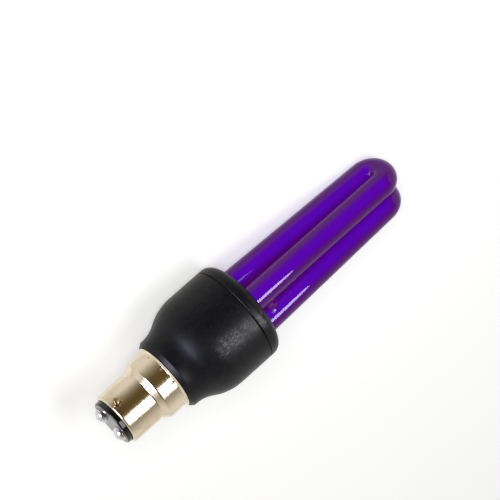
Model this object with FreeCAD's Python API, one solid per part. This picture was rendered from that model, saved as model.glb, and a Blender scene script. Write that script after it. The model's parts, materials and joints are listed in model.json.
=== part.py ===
import FreeCAD
import Part
import math
import os

# A black-light compact fluorescent lamp: two bent glass tubes joined by a bridge, a black plastic
# housing with the ballast inside, and a bayonet cap with two pins.
# Lengths are millimetres and angles are degrees. Every piece is drawn about the lamp's axis, Z, with
# Z = 0 at the cap's mouth, +X towards the front leg of the glass and +Y towards the right leg.
# The last step lays the lamp as it rests on a table, on its cover's edge and one leg of each bent
# tube, with the cap towards -X.

# Fits
fit = 0.1  # gap between pieces that slide or seat in each other
seat_gap = 0.02  # gap under a swaged or soldered face

# Bayonet cap shell, lengths from the mouth upwards
shell_wall = 0.35
barrel_radius = 11.0
barrel_length = 14.2
step_length = 2.4
step_rise = 2.1
flange_length = 7.2
flare_length = 0.9
flare_rise = 0.9
mouth_lip = 1.25
mouth_round = 0.9
step_round = 0.9
flare_round = 0.5

# Punched crimps that lock the shell on the housing's spigot
crimp_count = 12
crimp_ball = 0.9
crimp_depth = 0.4
crimp_drop = 2.1
crimp_turn = 14.0

# Bayonet pins
pin_radius = 1.05
pin_neck_radius = 0.85
pin_projection = 2.4
pin_height = 2.9
pin_turn = -26.5
pin_tip_round = 0.25
pin_collar_radius = 1.75
pin_collar_height = 0.45
pin_collar_edge = 0.15
pin_tail = 0.8
pin_tail_radius = 1.5

# Insulator and contacts
insulator_play = 0.15
insulator_drop = 2.7
insulator_top = 5.0
insulator_round = 0.7
contact_offset = 5.3
contact_turn = 63.5
contact_radius = 2.8
contact_height = 1.4
eyelet_plate = 0.5
eyelet_radius = 1.5
eyelet_bore = 0.9
eyelet_rise = 0.4

# Lower housing, lengths from the cap's rim upwards
housing_wall = 1.6
body_radius = 21.05
spigot_length = 6.6
spigot_wall = 1.5
collar_step = 1.2
collar_draft = 0.4
collar_length = 2.3
collar_edge_round = 0.5
neck_length = 4.2
shoulder_length = 9.0
shoulder_low_share = 0.4
shoulder_high_share = 0.56
body_length = 20.6
seam_bevel = 0.25
rib_thickness = 1.2
rib_reach = 2.4
rib_length = 7.0
rib_turns = (22.0, 66.0, 120.0, 167.0, 195.5, 263.5)

# Upper cover
cover_height = 6.1
cover_round = 4.2
plug_wall = 1.3
snap_count = 4
snap_turn = 45.0
snap_width = 6.0
snap_height = 1.4
snap_rise = 0.5
snap_drop = 3.6
hole_gap = 0.25

# Glass
tube_radius = 5.25
tube_wall = 1.0
foot_gap = 3.2
bend_gap = 0.25
front_crown = 75.2
back_crown_drop = 1.9
glass_foot = 5.4
bridge_height = 6.2
bridge_radius = 2.9
bridge_flare = 1.0
pinch_width = 7.0
pinch_thickness = 2.4
pinch_drop = 1.2
FRONT = 0.0
RIGHT = 90.0
BACK = 180.0
LEFT = 270.0
UP = 45.0  # turn that faces up when the lamp lies

# Cement pad
cement_depth = 5.0

# Board
board_thickness = 1.6
board_drop = 7.2
board_play = 0.25
board_turn = 45.0
lead_radius = 0.3
lead_tip = 0.8
stand_off = 0.15

# Leads
supply_radius = 0.65
supply_core_radius = 0.35
supply_bend = 20.0
supply_drop = 25.0
supply_straight = 7.0
supply_place_1 = (-2.5, -9.0)
supply_place_2 = (-2.5, 9.0)
electrode_radius = 0.25
electrode_pitch = 4.0

# Choke, its long side across Y
choke_place = (-5.8, -1.2)
choke_width = 13.0
choke_depth = 4.8
choke_height = 12.0
choke_leg = 3.2
choke_yoke = 2.0
choke_base = 2.0
choke_base_width = 11.0
bobbin_wall = 0.7
bobbin_flange = 0.7
bobbin_flange_width = 9.4
winding_inset = 0.3
winding_round = 1.2
choke_pin_x = 7.0
choke_pin_y = 7.5

# Drive transformer
toroid_place = (4.0, 4.6)
toroid_outer = 3.6
toroid_inner = 1.9
toroid_height = 3.6
toroid_wire = 0.4
toroid_turns = (0.0, 20.0, 40.0, 60.0, 130.0, 150.0, 240.0, 260.0, 280.0, 300.0)
toroid_lead_turns = (30.0, 140.0, 270.0)

# Bulk capacitor
bulk_place = (4.6, -6.2)
bulk_radius = 4.0
bulk_length = 15.0
bulk_round = 0.8
bulk_groove = 0.5
bulk_groove_place = 2.6
bulk_pitch = 3.5

# Parts in a ring along the housing's wall, each at its own turn
ring_inset = 3.45

# Film capacitors
film_width = 7.5
film_thickness = 3.5
film_height = 8.5
film_round = 1.2
film_pitch = 5.0
resonant_turn = -146.0
blocking_turn = 146.0

# Transistors
transistor_inset = 5.2
transistor_width = 8.0
transistor_thickness = 2.8
transistor_height = 10.8
transistor_lead = 2.0
transistor_pitch = 2.3
transistor_hole = 1.55
transistor_hole_place = 7.0
transistor_turn_1 = 0.0
transistor_turn_2 = 90.0

# Parts that stand on end with one lead bent back
diode_radius = 1.3
diode_length = 5.2
diode_turns = (-26.0, -46.0, -66.0, -86.0)
resistor_radius = 1.6
resistor_waist = 1.3
resistor_length = 8.0
resistor_cap = 1.6
resistor_turn = 180.0
trigger_radius = 0.9
trigger_length = 3.8
trigger_turn = -112.0
bead_round = 0.3
return_pitch = 2.3

# Filter inductor
filter_radius = 2.8
filter_core_radius = 1.4
filter_height = 8.0
filter_flange = 1.1
filter_pitch = 3.8
filter_turn = 45.0

# Heights up the lamp that follow
barrel_end = barrel_length
flange_start = barrel_end + step_length
flare_start = flange_start + flange_length
cap_length = flare_start + flare_length
collar_end = cap_length + collar_length
shoulder_low = collar_end + neck_length
shoulder_high = shoulder_low + shoulder_length
seam_height = shoulder_high + body_length
cover_top = seam_height + cover_height
cover_ceiling = cover_top - housing_wall
board_top = seam_height - board_drop
board_bottom = board_top - board_thickness
parts_top = board_bottom - stand_off
plug_end = board_top + fit
foot_height = cover_top - glass_foot
back_crown = front_crown - back_crown_drop

# Radii that follow
mouth_radius = barrel_radius - mouth_lip
barrel_bore = barrel_radius - shell_wall
flange_radius = barrel_radius + step_rise
flange_bore = flange_radius - shell_wall
rim_radius = flange_radius + flare_rise
pin_reach = barrel_radius + pin_projection
insulator_radius = mouth_radius - insulator_play
collar_foot_radius = rim_radius + collar_step
collar_radius = collar_foot_radius + collar_draft
spigot_radius = flange_bore - fit
housing_bore = body_radius - housing_wall
plug_radius = housing_bore - fit
plug_bore = plug_radius - plug_wall
ring_radius = housing_bore - ring_inset
tube_bore = tube_radius - tube_wall
leg_foot_radius = (2 * tube_radius + foot_gap) / math.sqrt(2)
leg_bend_radius = (2 * tube_radius + bend_gap) / math.sqrt(2)
leg_slope = (leg_foot_radius - leg_bend_radius) / (front_crown - tube_radius - bend_gap / 2)
cement_radius = (leg_foot_radius + tube_radius + plug_bore) / 2
contact_turns = (contact_turn - 180, contact_turn)
AXIS = FreeCAD.Vector(0, 0, 1)
ORIGIN = FreeCAD.Vector(0, 0, 0)


def polar(radius, turn, height):
    """Point at a radius and a turn about the lamp's axis."""
    angle = math.radians(turn)
    return FreeCAD.Vector(radius * math.cos(angle), radius * math.sin(angle), height)


def rounded_wire(corners):
    """Closed wire through (radius, height, rounding) corners in the plane of the axis."""
    points = [FreeCAD.Vector(r, 0, z) for r, z, rounding in corners]
    spans = []
    for index, corner in enumerate(corners):
        here = points[index]
        back = (points[index - 1] - here).normalize()
        ahead = (points[(index + 1) % len(points)] - here).normalize()
        rounding = corner[2]
        if rounding == 0:
            spans.append((here, None, here))
            continue
        half = back.getAngle(ahead) / 2
        reach = rounding / math.tan(half)
        inward = (back + ahead).normalize()
        middle = here + inward * (rounding / math.sin(half) - rounding)
        spans.append((here + back * reach, middle, here + ahead * reach))
    edges = []
    for index, (entry, middle, leave) in enumerate(spans):
        if middle is not None:
            edges.append(Part.Arc(entry, middle, leave).toShape())
        following = spans[(index + 1) % len(spans)][0]
        if leave.distanceToPoint(following) > 1e-6:
            edges.append(Part.LineSegment(leave, following).toShape())
    return Part.Wire(edges)


def turned(corners):
    """Solid of revolution of a rounded outline."""
    return Part.Face(rounded_wire(corners)).revolve(ORIGIN, AXIS, 360)


def rod(start, end, radius):
    """Round rod between two points."""
    along = end - start
    return Part.makeCylinder(radius, along.Length, start, along)


def block(centre_x, centre_y, low, size_x, size_y, height):
    """Upright block about a centre line."""
    corner = FreeCAD.Vector(centre_x - size_x / 2, centre_y - size_y / 2, low)
    return Part.makeBox(size_x, size_y, height, corner)


def upright_edges(shape):
    """Straight edges of a shape that run along the axis."""
    edges = []
    for edge in shape.Edges:
        if abs(edge.tangentAt(edge.FirstParameter).z) > 0.999 and edge.Curve.TypeId == "Part::GeomLine":
            edges.append(edge)
    return edges


def joined(shapes):
    """One clean solid from touching or crossing shapes."""
    return shapes[0].multiFuse(shapes[1:]).removeSplitter()


def bent_rod(points, radius, bend):
    """Round rod along straight runs that are joined by arcs of one bend radius."""
    edges = []
    at = points[0]
    for index in range(1, len(points) - 1):
        corner = points[index]
        back = (points[index - 1] - corner).normalize()
        ahead = (points[index + 1] - corner).normalize()
        half = back.getAngle(ahead) / 2
        reach = bend / math.tan(half)
        inward = (back + ahead).normalize()
        middle = corner + inward * (bend / math.sin(half) - bend)
        leave = corner + ahead * reach
        edges.append(Part.LineSegment(at, corner + back * reach).toShape())
        edges.append(Part.Arc(corner + back * reach, middle, leave).toShape())
        at = leave
    edges.append(Part.LineSegment(at, points[-1]).toShape())
    section = Part.Wire(Part.Circle(points[0], points[1] - points[0], radius).toShape())
    return Part.Wire(edges).makePipeShell([section], True, True)


def crimp_point(index, ball):
    """Centre of the ball that punches one crimp to the crimp's depth."""
    turn = crimp_turn + index * 360 / crimp_count
    return polar(flange_radius - crimp_depth + ball, turn, cap_length - crimp_drop)


def cap_shell():
    """Drawn sheet cap: rolled mouth, barrel, shoulder, flange and flared rim."""
    flare = math.atan2(flare_rise, flare_length)
    step_shift = shell_wall * math.tan(math.atan2(step_rise, step_length) / 2)
    flare_shift = shell_wall * math.tan(flare / 2)
    shell = turned([
        (mouth_radius, 0, 0),
        (barrel_radius, 0, mouth_round),
        (barrel_radius, barrel_end, step_round),
        (flange_radius, flange_start, step_round + shell_wall),
        (flange_radius, flare_start, flare_round),
        (rim_radius, cap_length, 0),
        (rim_radius - shell_wall / math.cos(flare), cap_length, 0),
        (flange_bore, flare_start + flare_shift, flare_round + shell_wall),
        (flange_bore, flange_start + step_shift, step_round),
        (barrel_bore, barrel_end + step_shift, step_round + shell_wall),
        (barrel_bore, shell_wall, mouth_round - shell_wall),
        (mouth_radius, shell_wall, 0),
    ])
    bore = Part.makeCylinder(flange_bore, cap_length)
    bumps = []
    punches = []
    for index in range(crimp_count):
        centre = crimp_point(index, crimp_ball)
        bumps.append(Part.makeSphere(crimp_ball + shell_wall, centre).common(bore))
        punches.append(Part.makeSphere(crimp_ball, centre))
    shell = joined([shell] + bumps).cut(Part.makeCompound(punches))
    for turn in (pin_turn, pin_turn + 180):
        inner = polar(mouth_radius, turn, pin_height)
        outer = polar(pin_reach, turn, pin_height)
        shell = shell.cut(rod(inner, outer, pin_neck_radius + seat_gap))
    return shell


def bayonet_pin(turn):
    """Turned pin: a head inside the barrel, a neck through it, a swaged collar and a plain shank."""
    out = polar(1, turn, 0)
    tail_start = barrel_bore - seat_gap - pin_tail
    collar_end = barrel_radius + pin_collar_height
    profile = [
        (0, tail_start, 0),
        (pin_tail_radius, tail_start, 0),
        (pin_tail_radius, barrel_radius, 0),
        (pin_neck_radius, barrel_radius, 0),
        (pin_neck_radius, collar_end, 0),
        (0, collar_end, 0),
    ]
    head = turned(profile)
    shank = turned([
        (0, barrel_bore, 0),
        (pin_collar_radius, barrel_bore, 0),
        (pin_collar_radius, barrel_radius + pin_collar_edge, 0),
        (pin_radius, collar_end, 0),
        (pin_radius, pin_reach, pin_tip_round),
        (0, pin_reach, 0),
    ])
    place = FreeCAD.Placement(AXIS * pin_height, FreeCAD.Rotation(AXIS, out))
    head.Placement = place
    shank.Placement = place
    neck = rod(polar(tail_start, turn, pin_height), polar(collar_end, turn, pin_height), pin_neck_radius)
    head = head.common(Part.makeCylinder(barrel_bore - seat_gap, barrel_end))
    shank = shank.cut(Part.makeCylinder(barrel_radius + seat_gap, barrel_end))
    return joined([head, neck, shank])


def cap_insulator():
    """Moulded insulator that fills the barrel's foot and stands out of its mouth."""
    seat_radius = barrel_bore - fit
    seat_low = shell_wall + fit
    body = turned([
        (0, -insulator_drop, 0),
        (insulator_radius, -insulator_drop, insulator_round),
        (insulator_radius, seat_low, 0),
        (seat_radius, seat_low, mouth_round),
        (seat_radius, insulator_top, insulator_round),
        (0, insulator_top, 0),
    ])
    for turn in contact_turns:
        foot = polar(contact_offset, turn, -insulator_drop)
        body = body.cut(Part.makeCylinder(contact_radius + fit, eyelet_plate + fit, foot))
        body = body.cut(Part.makeCylinder(eyelet_radius + fit, insulator_top + insulator_drop, foot))
    pocket_start = barrel_bore - seat_gap - pin_tail - fit
    for turn in (pin_turn, pin_turn + 180):
        pocket = rod(polar(pocket_start, turn, pin_height), polar(barrel_radius, turn, pin_height),
                     pin_tail_radius + fit)
        body = body.cut(pocket)
    return body


def contact_eyelet(turn):
    """Brass eyelet through the insulator, with its plate flush in the foot."""
    foot = polar(contact_offset, turn, -insulator_drop)
    length = insulator_drop + insulator_top + eyelet_rise
    plate = Part.makeCylinder(contact_radius, eyelet_plate, foot)
    barrel = Part.makeCylinder(eyelet_radius, length, foot)
    return joined([plate, barrel]).cut(Part.makeCylinder(eyelet_bore, length, foot))


def solder_contact(turn):
    """Domed solder bead under an eyelet."""
    foot = polar(contact_offset, turn, -insulator_drop)
    ball = (contact_radius ** 2 + contact_height ** 2) / (2 * contact_height)
    centre = foot + AXIS * (ball - contact_height)
    slab = Part.makeCylinder(contact_radius, contact_height, foot - AXIS * contact_height)
    return Part.makeSphere(ball, centre).common(slab)


def supply_lead(place, turn):
    """Insulated lead from the board down to a contact, with its bare end in the eyelet."""
    x, y = board_point(place[0], place[1], board_turn)
    start = FreeCAD.Vector(x, y, parts_top)
    bare_end = polar(contact_offset, turn, -insulator_drop)
    sleeve_end = polar(contact_offset, turn, insulator_top + eyelet_rise + fit)
    turn_high = start - AXIS * supply_drop
    turn_low = sleeve_end + AXIS * supply_straight
    sleeve = bent_rod([start, turn_high, turn_low, sleeve_end], supply_radius, supply_bend)
    core_top = FreeCAD.Vector(x, y, board_top + lead_tip)
    return joined([sleeve, rod(bare_end, sleeve_end, supply_core_radius), rod(start, core_top, lead_radius)])


def lower_housing():
    """Moulded shell: spigot in the cap, collar, S-shaped shoulder, straight body, board ribs."""
    rise = body_radius - collar_radius
    bend = math.tan(math.atan2(rise, shoulder_length) / 2)
    slant = math.hypot(rise, shoulder_length)
    low_round = shoulder_low_share * slant / bend
    high_round = shoulder_high_share * slant / bend
    shift = housing_wall * bend
    collar_foot = cap_length + seat_gap
    spigot_bore = spigot_radius - spigot_wall
    neck_bore = collar_radius - housing_wall
    shell = turned([
        (spigot_bore, cap_length - spigot_length, 0),
        (spigot_radius, cap_length - spigot_length, 0),
        (spigot_radius, collar_foot, 0),
        (collar_foot_radius, collar_foot, collar_edge_round),
        (collar_radius, collar_end, 0),
        (collar_radius, shoulder_low, low_round),
        (body_radius, shoulder_high, high_round),
        (body_radius, seam_height - seam_bevel, 0),
        (body_radius - seam_bevel, seam_height, 0),
        (housing_bore, seam_height, 0),
        (housing_bore, shoulder_high + shift, high_round - housing_wall),
        (neck_bore, shoulder_low + shift, 0),
        (neck_bore, collar_end, 0),
        (spigot_bore, collar_end, 0),
    ])
    pockets = []
    for index in range(crimp_count):
        centre = crimp_point(index, crimp_ball)
        pockets.append(Part.makeSphere(crimp_ball + shell_wall + fit, centre))
    shell = shell.cut(Part.makeCompound(pockets))
    outside = Part.makeCylinder(body_radius - housing_wall / 2, board_bottom)
    ribs = []
    for turn in rib_turns:
        rib = block(housing_bore, 0, board_bottom - rib_length, 2 * rib_reach, rib_thickness, rib_length)
        rib.rotate(ORIGIN, AXIS, board_turn + turn)
        ribs.append(rib.common(outside))
    shell = joined([shell] + ribs)
    for index in range(snap_count):
        shell = shell.cut(snap_block(index, fit))
    return shell


def snap_block(index, gap):
    """Bead that clips the cover into the housing, or its pocket when a gap is given."""
    low = seam_height - snap_drop - gap
    reach = plug_radius + fit + snap_rise + gap
    bead = block(reach - plug_wall, 0, low, 2 * plug_wall, snap_width + 2 * gap, snap_height + 2 * gap)
    bead = bead.common(Part.makeCylinder(reach, seam_height))
    bead.rotate(ORIGIN, AXIS, snap_turn + index * 360 / snap_count)
    return bead


def leg_point(turn, height):
    """Point on a leg's centre line: the legs close in evenly from the cover to the bends."""
    return polar(leg_foot_radius - leg_slope * (height - cover_top), turn, height)


def upper_cover():
    """Moulded cover: rounded cap with four leg holes, and a plug that clips into the housing."""
    shell = turned([
        (body_radius - seam_bevel, seam_height + seat_gap, 0),
        (body_radius, seam_height + seat_gap + seam_bevel, 0),
        (body_radius, cover_top, cover_round),
        (0, cover_top, 0),
        (0, cover_ceiling, 0),
        (plug_bore, cover_ceiling, 0),
        (plug_bore, plug_end, 0),
        (plug_radius, plug_end, 0),
        (plug_radius, seam_height + seat_gap, 0),
    ])
    shell = joined([shell] + [snap_block(index, 0) for index in range(snap_count)])
    for turn in (FRONT, RIGHT, BACK, LEFT):
        hole = rod(leg_point(turn, foot_height), leg_point(turn, cover_top + tube_radius), tube_radius + hole_gap)
        shell = shell.cut(hole)
    return shell


class Bend:
    """The half turn between two legs: its plane, centre and radius, tangent to both leaning legs."""

    def __init__(self, turn_a, turn_b, crown):
        self.foot_a = leg_point(turn_a, foot_height)
        self.foot_b = leg_point(turn_b, foot_height)
        middle = (self.foot_a + self.foot_b) * 0.5
        across = (self.foot_a - self.foot_b).normalize()
        along = ((leg_point(turn_a, cover_top) + leg_point(turn_b, cover_top)) * 0.5 - middle).normalize()
        self.leg = (leg_point(turn_a, cover_top) - self.foot_a).normalize()
        lean_sine = -self.leg.dot(across)
        lean_cosine = self.leg.dot(along)
        reach = (cover_top + crown - foot_height) / along.z
        half_foot = self.foot_a.distanceToPoint(self.foot_b) / 2
        self.radius = (half_foot * lean_cosine - lean_sine * reach) / (1 - lean_sine)
        self.centre = middle + along * (reach - self.radius)
        self.normal = across.cross(along)
        self.sweep = 180 - 2 * math.degrees(math.asin(lean_sine))
        side = across * (self.radius * lean_cosine)
        rise = along * (self.radius * lean_sine)
        self.top_a = self.centre + side + rise
        self.top_b = self.centre - side + rise


def bent_tube(turn_a, turn_b, crown, radius):
    """Two legs and the bend between them, as a solid of the given radius with round feet."""
    bend = Bend(turn_a, turn_b, crown)
    section = Part.Face(Part.Wire(Part.Circle(bend.top_a, bend.leg, radius).toShape()))
    shapes = [
        rod(bend.foot_a, bend.top_a, radius),
        rod(bend.foot_b, bend.top_b, radius),
        section.revolve(bend.centre, bend.normal, bend.sweep),
        Part.makeSphere(radius, bend.foot_a),
        Part.makeSphere(radius, bend.foot_b),
    ]
    return joined(shapes)


def glass_bridge(radius, flare):
    """Short tube between the front and the right leg, wider where it runs into them."""
    height = cover_top + bridge_height
    start = leg_point(FRONT, height)
    end = leg_point(RIGHT, height)
    along = end - start
    length = along.Length
    gap = length / 2 - tube_radius
    waist = rounded_wire([
        (0, tube_bore, 0),
        (radius + flare, tube_bore, 0),
        (radius + flare, length / 2 - gap, 0),
        (radius, length / 2, gap),
        (radius + flare, length / 2 + gap, 0),
        (radius + flare, length - tube_bore, 0),
        (0, length - tube_bore, 0),
    ])
    neck = Part.Face(waist).revolve(ORIGIN, AXIS, 360)
    neck.Placement = FreeCAD.Placement(start, FreeCAD.Rotation(AXIS, along))
    return neck


def pinch_block(turn):
    """Flattened seal under a leg's foot."""
    foot = leg_point(0, foot_height)
    height = tube_radius + pinch_drop
    seal = block(foot.x, 0, foot_height - height, pinch_thickness, pinch_width, height)
    seal.rotate(ORIGIN, AXIS, turn)
    return seal


def discharge_tube():
    """Hollow glass: two bent tubes, a bridge, two round feet and two pinched ones."""
    outside = joined([
        bent_tube(FRONT, LEFT, front_crown, tube_radius),
        bent_tube(RIGHT, BACK, back_crown, tube_radius),
        glass_bridge(bridge_radius, bridge_flare),
        pinch_block(LEFT),
        pinch_block(BACK),
    ])
    inside = joined([
        bent_tube(FRONT, LEFT, front_crown, tube_bore),
        bent_tube(RIGHT, BACK, back_crown, tube_bore),
        rod(leg_point(FRONT, cover_top + bridge_height), leg_point(RIGHT, cover_top + bridge_height),
            bridge_radius - tube_wall),
    ])
    return outside.cut(inside)


def tube_cement():
    """Cement pad under the cover's top, poured round the four legs."""
    foot_plane = AXIS * (cover_ceiling - seat_gap - cement_depth)
    pad = Part.makeCylinder(cement_radius, cement_depth, foot_plane)
    for turn in (FRONT, RIGHT, BACK, LEFT):
        foot = leg_point(turn, foot_height)
        pad = pad.cut(rod(foot, leg_point(turn, cover_top), tube_radius + seat_gap))
        pad = pad.cut(Part.makeSphere(tube_radius + seat_gap, foot))
    return pad


def electrode_leads(turn):
    """Two wires from a pinched foot down to the board."""
    radius = leg_point(0, foot_height).x
    low = board_top + seat_gap
    length = foot_height - tube_radius - pinch_drop - seat_gap - low
    wires = []
    for side in (-1, 1):
        centre = FreeCAD.Vector(radius, side * electrode_pitch / 2, low)
        wires.append(Part.makeCylinder(electrode_radius, length, centre))
    pair = Part.makeCompound(wires)
    pair.rotate(ORIGIN, AXIS, turn)
    return pair


def board_point(x, y, turn=0.0):
    """Point on the board, x outwards and y along the wall, turned about the lamp's axis."""
    angle = math.radians(turn)
    return (x * math.cos(angle) - y * math.sin(angle), x * math.sin(angle) + y * math.cos(angle))


def row_points(place, pitch, count, turn=0.0):
    """Board points of leads in a row along Y, turned about the lamp's axis."""
    offsets = [pitch * (index - (count - 1) / 2) for index in range(count)]
    return [board_point(place[0], place[1] + offset, turn) for offset in offsets]


def standing_points(turn):
    """Board points of a part that stands on end: its straight lead and its bent-back one."""
    return [board_point(ring_radius, 0, turn), board_point(ring_radius, return_pitch, turn)]


def choke_pins():
    """Board points of the choke's four pins."""
    half_x = choke_pin_x / 2
    half_y = choke_pin_y / 2
    x, y = choke_place
    return [(x + step_x, y + step_y) for step_x in (-half_x, half_x) for step_y in (-half_y, half_y)]


def toroid_points():
    """Board points of the transformer's leads, just outside its windings."""
    reach = toroid_outer + toroid_wire + lead_radius + fit
    points = []
    for turn in toroid_lead_turns:
        x, y = board_point(reach, 0, turn)
        points.append((toroid_place[0] + x, toroid_place[1] + y))
    return points


def board_points():
    """Every board point that a lead goes through."""
    points = choke_pins() + toroid_points()
    points += row_points(bulk_place, bulk_pitch, 2)
    for turn in (resonant_turn, blocking_turn):
        points += row_points((ring_radius, 0), film_pitch, 2, turn)
    for turn in (transistor_turn_1, transistor_turn_2):
        points += row_points((housing_bore - transistor_inset, 0), transistor_pitch, 3, turn)
    for turn in diode_turns + (resistor_turn, trigger_turn):
        points += standing_points(turn)
    points += row_points((ring_radius, 0), filter_pitch, 2, filter_turn)
    points += [supply_place_1, supply_place_2]
    return points


def circuit_board():
    """Round board with a hole for every lead."""
    board = Part.makeCylinder(housing_bore - board_play, board_thickness, AXIS * board_bottom)
    holes = []
    for x, y in board_points():
        holes.append(Part.makeCylinder(lead_radius + fit, board_thickness, FreeCAD.Vector(x, y, board_bottom)))
    return board.cut(Part.makeCompound(holes))


def lead(point, depth):
    """Straight lead from a depth under the board to its tip above the board."""
    start = FreeCAD.Vector(point[0], point[1], board_bottom - depth)
    return Part.makeCylinder(lead_radius, depth + board_thickness + lead_tip, start)


def round_the_wall(shape, turn):
    """Turns a part that is drawn on +X to its place along the housing's wall."""
    placed = shape.copy()
    placed.rotate(ORIGIN, AXIS, turn)
    return placed


def choke_window():
    """Foot and height of the window in the choke's core."""
    return parts_top - choke_base - choke_height + choke_yoke, choke_height - 2 * choke_yoke


def choke_core():
    """Ferrite core: an outer frame and a centre leg twice as thick as the outer ones."""
    x, y = choke_place
    core = block(x, y, parts_top - choke_base - choke_height, choke_depth, choke_width, choke_height)
    window_low, window_height = choke_window()
    window = choke_width / 2 - choke_leg
    offset = (choke_leg + window) / 2
    for sign in (-1, 1):
        core = core.cut(block(x, y + sign * offset, window_low, choke_depth, window, window_height))
    return core


def choke_bobbin():
    """Bobbin on the centre leg, with two flanges, a pin base and four pins."""
    x, y = choke_place
    low, height = choke_window()
    low += fit
    height -= 2 * fit
    inner_x = choke_depth + 2 * fit
    inner_y = choke_leg + 2 * fit
    flange_y = choke_width - choke_leg - 2 * fit
    head_low = low + height - bobbin_flange
    sleeve = block(x, y, low, inner_x + 2 * bobbin_wall, inner_y + 2 * bobbin_wall, height)
    foot = block(x, y, low, bobbin_flange_width, flange_y, bobbin_flange)
    head = block(x, y, head_low, bobbin_flange_width, flange_y, bobbin_flange)
    base_low = parts_top - choke_base + fit
    base = block(x, y, base_low, bobbin_flange_width, choke_base_width, choke_base - fit)
    cheek = (bobbin_flange_width - inner_x) / 2
    cheeks = []
    for sign in (-1, 1):
        centre = x + sign * (inner_x + cheek) / 2
        cheeks.append(block(centre, y, head_low, cheek, flange_y, parts_top - head_low))
    pins = [lead(point, stand_off + choke_base / 2) for point in choke_pins()]
    body = joined([sleeve, foot, head, base] + cheeks + pins)
    return body.cut(block(x, y, low - fit, inner_x, inner_y, height + 2 * fit))


def choke_winding():
    """Wound copper with a taped, rounded outside."""
    x, y = choke_place
    low, height = choke_window()
    low += 2 * fit + bobbin_flange
    height -= 2 * (2 * fit + bobbin_flange)
    outer_y = choke_width - choke_leg - 2 * winding_inset - 2 * fit
    coil = block(x, y, low, bobbin_flange_width - 2 * winding_inset, outer_y, height)
    coil = coil.makeFillet(winding_round, upright_edges(coil))
    inner_x = choke_depth + 2 * fit + 2 * bobbin_wall + 2 * seat_gap
    inner_y = choke_leg + 2 * fit + 2 * bobbin_wall + 2 * seat_gap
    return coil.cut(block(x, y, low, inner_x, inner_y, height))


def toroid_core():
    """Ferrite ring lying flat under the board."""
    low = parts_top - toroid_wire - fit - toroid_height
    centre = FreeCAD.Vector(toroid_place[0], toroid_place[1], low)
    ring = Part.makeCylinder(toroid_outer, toroid_height, centre)
    return ring.cut(Part.makeCylinder(toroid_inner, toroid_height, centre))


def toroid_windings():
    """Turns of wire round the ring, each a closed loop, and the leads up to the board."""
    low = parts_top - toroid_wire - fit - toroid_height
    middle = (toroid_outer + toroid_inner) / 2
    width = toroid_outer - toroid_inner + 2 * fit
    height = toroid_height + 2 * fit
    shapes = []
    for turn in toroid_turns:
        loop = block(middle, 0, low - fit - toroid_wire, width + 2 * toroid_wire, toroid_wire,
                     height + 2 * toroid_wire)
        loop = loop.cut(block(middle, 0, low - fit, width, toroid_wire, height))
        loop.rotate(ORIGIN, AXIS, turn)
        loop.translate(FreeCAD.Vector(toroid_place[0], toroid_place[1], 0))
        shapes.append(loop)
    shapes += [lead(point, toroid_height) for point in toroid_points()]
    return Part.makeCompound(shapes)


def bulk_capacitor():
    """Electrolytic can with a rolled groove near its leads."""
    groove = parts_top - bulk_groove_place
    can = turned([
        (0, parts_top - bulk_length, 0),
        (bulk_radius, parts_top - bulk_length, bulk_round),
        (bulk_radius, groove - bulk_groove, 0),
        (bulk_radius - bulk_groove, groove, bulk_groove),
        (bulk_radius, groove + bulk_groove, 0),
        (bulk_radius, parts_top, bulk_round),
        (0, parts_top, 0),
    ])
    can.translate(FreeCAD.Vector(bulk_place[0], bulk_place[1], 0))
    leads = [lead(point, stand_off + bulk_round) for point in row_points(bulk_place, bulk_pitch, 2)]
    return joined([can] + leads)


def film_capacitor(turn):
    """Dipped film capacitor with rounded sides."""
    body = block(ring_radius, 0, parts_top - film_height, film_thickness, film_width, film_height)
    body = body.makeFillet(film_round, upright_edges(body))
    leads = [lead(point, stand_off + film_round) for point in row_points((ring_radius, 0), film_pitch, 2)]
    return round_the_wall(joined([body] + leads), turn)


def transistor(turn):
    """Flat power transistor with a screw hole, standing on three leads."""
    place = housing_bore - transistor_inset
    top = board_bottom - transistor_lead
    body = block(place, 0, top - transistor_height, transistor_thickness, transistor_width, transistor_height)
    hole = FreeCAD.Vector(place - transistor_thickness / 2, 0, top - transistor_hole_place)
    body = body.cut(Part.makeCylinder(transistor_hole, transistor_thickness, hole, FreeCAD.Vector(1, 0, 0)))
    points = row_points((place, 0), transistor_pitch, 3)
    leads = [lead(point, transistor_lead + bead_round) for point in points]
    return round_the_wall(joined([body] + leads), turn)


def standing_part(outline, length, turn):
    """Part on end: a turned body, a straight lead and a lead bent back beside it."""
    low = parts_top - length
    body = turned([(r, low + z, rounding) for r, z, rounding in outline])
    body.translate(FreeCAD.Vector(ring_radius, 0, 0))
    start = FreeCAD.Vector(ring_radius, 0, low)
    section = Part.Face(Part.Wire(Part.Circle(start, AXIS, lead_radius).toShape()))
    middle = FreeCAD.Vector(ring_radius, return_pitch / 2, low)
    bend = section.revolve(middle, FreeCAD.Vector(1, 0, 0), 180)
    straight, back = standing_points(0)
    whole = joined([body, lead(straight, stand_off + bead_round), bend, lead(back, board_bottom - low)])
    return round_the_wall(whole, turn)


def bead(radius, length):
    """Outline of a plain bead."""
    return [(0, 0, 0), (radius, 0, bead_round), (radius, length, bead_round), (0, length, 0)]


def rectifier_diodes():
    """Four diodes on end."""
    outline = bead(diode_radius, diode_length)
    return Part.makeCompound([standing_part(outline, diode_length, turn) for turn in diode_turns])


def fusible_resistor():
    """Resistor on end, with two end caps and a waist."""
    outline = [
        (0, 0, 0),
        (resistor_radius, 0, bead_round),
        (resistor_radius, resistor_cap, bead_round),
        (resistor_waist, resistor_cap + bead_round, 0),
        (resistor_waist, resistor_length - resistor_cap - bead_round, 0),
        (resistor_radius, resistor_length - resistor_cap, bead_round),
        (resistor_radius, resistor_length, bead_round),
        (0, resistor_length, 0),
    ]
    return standing_part(outline, resistor_length, resistor_turn)


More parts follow.
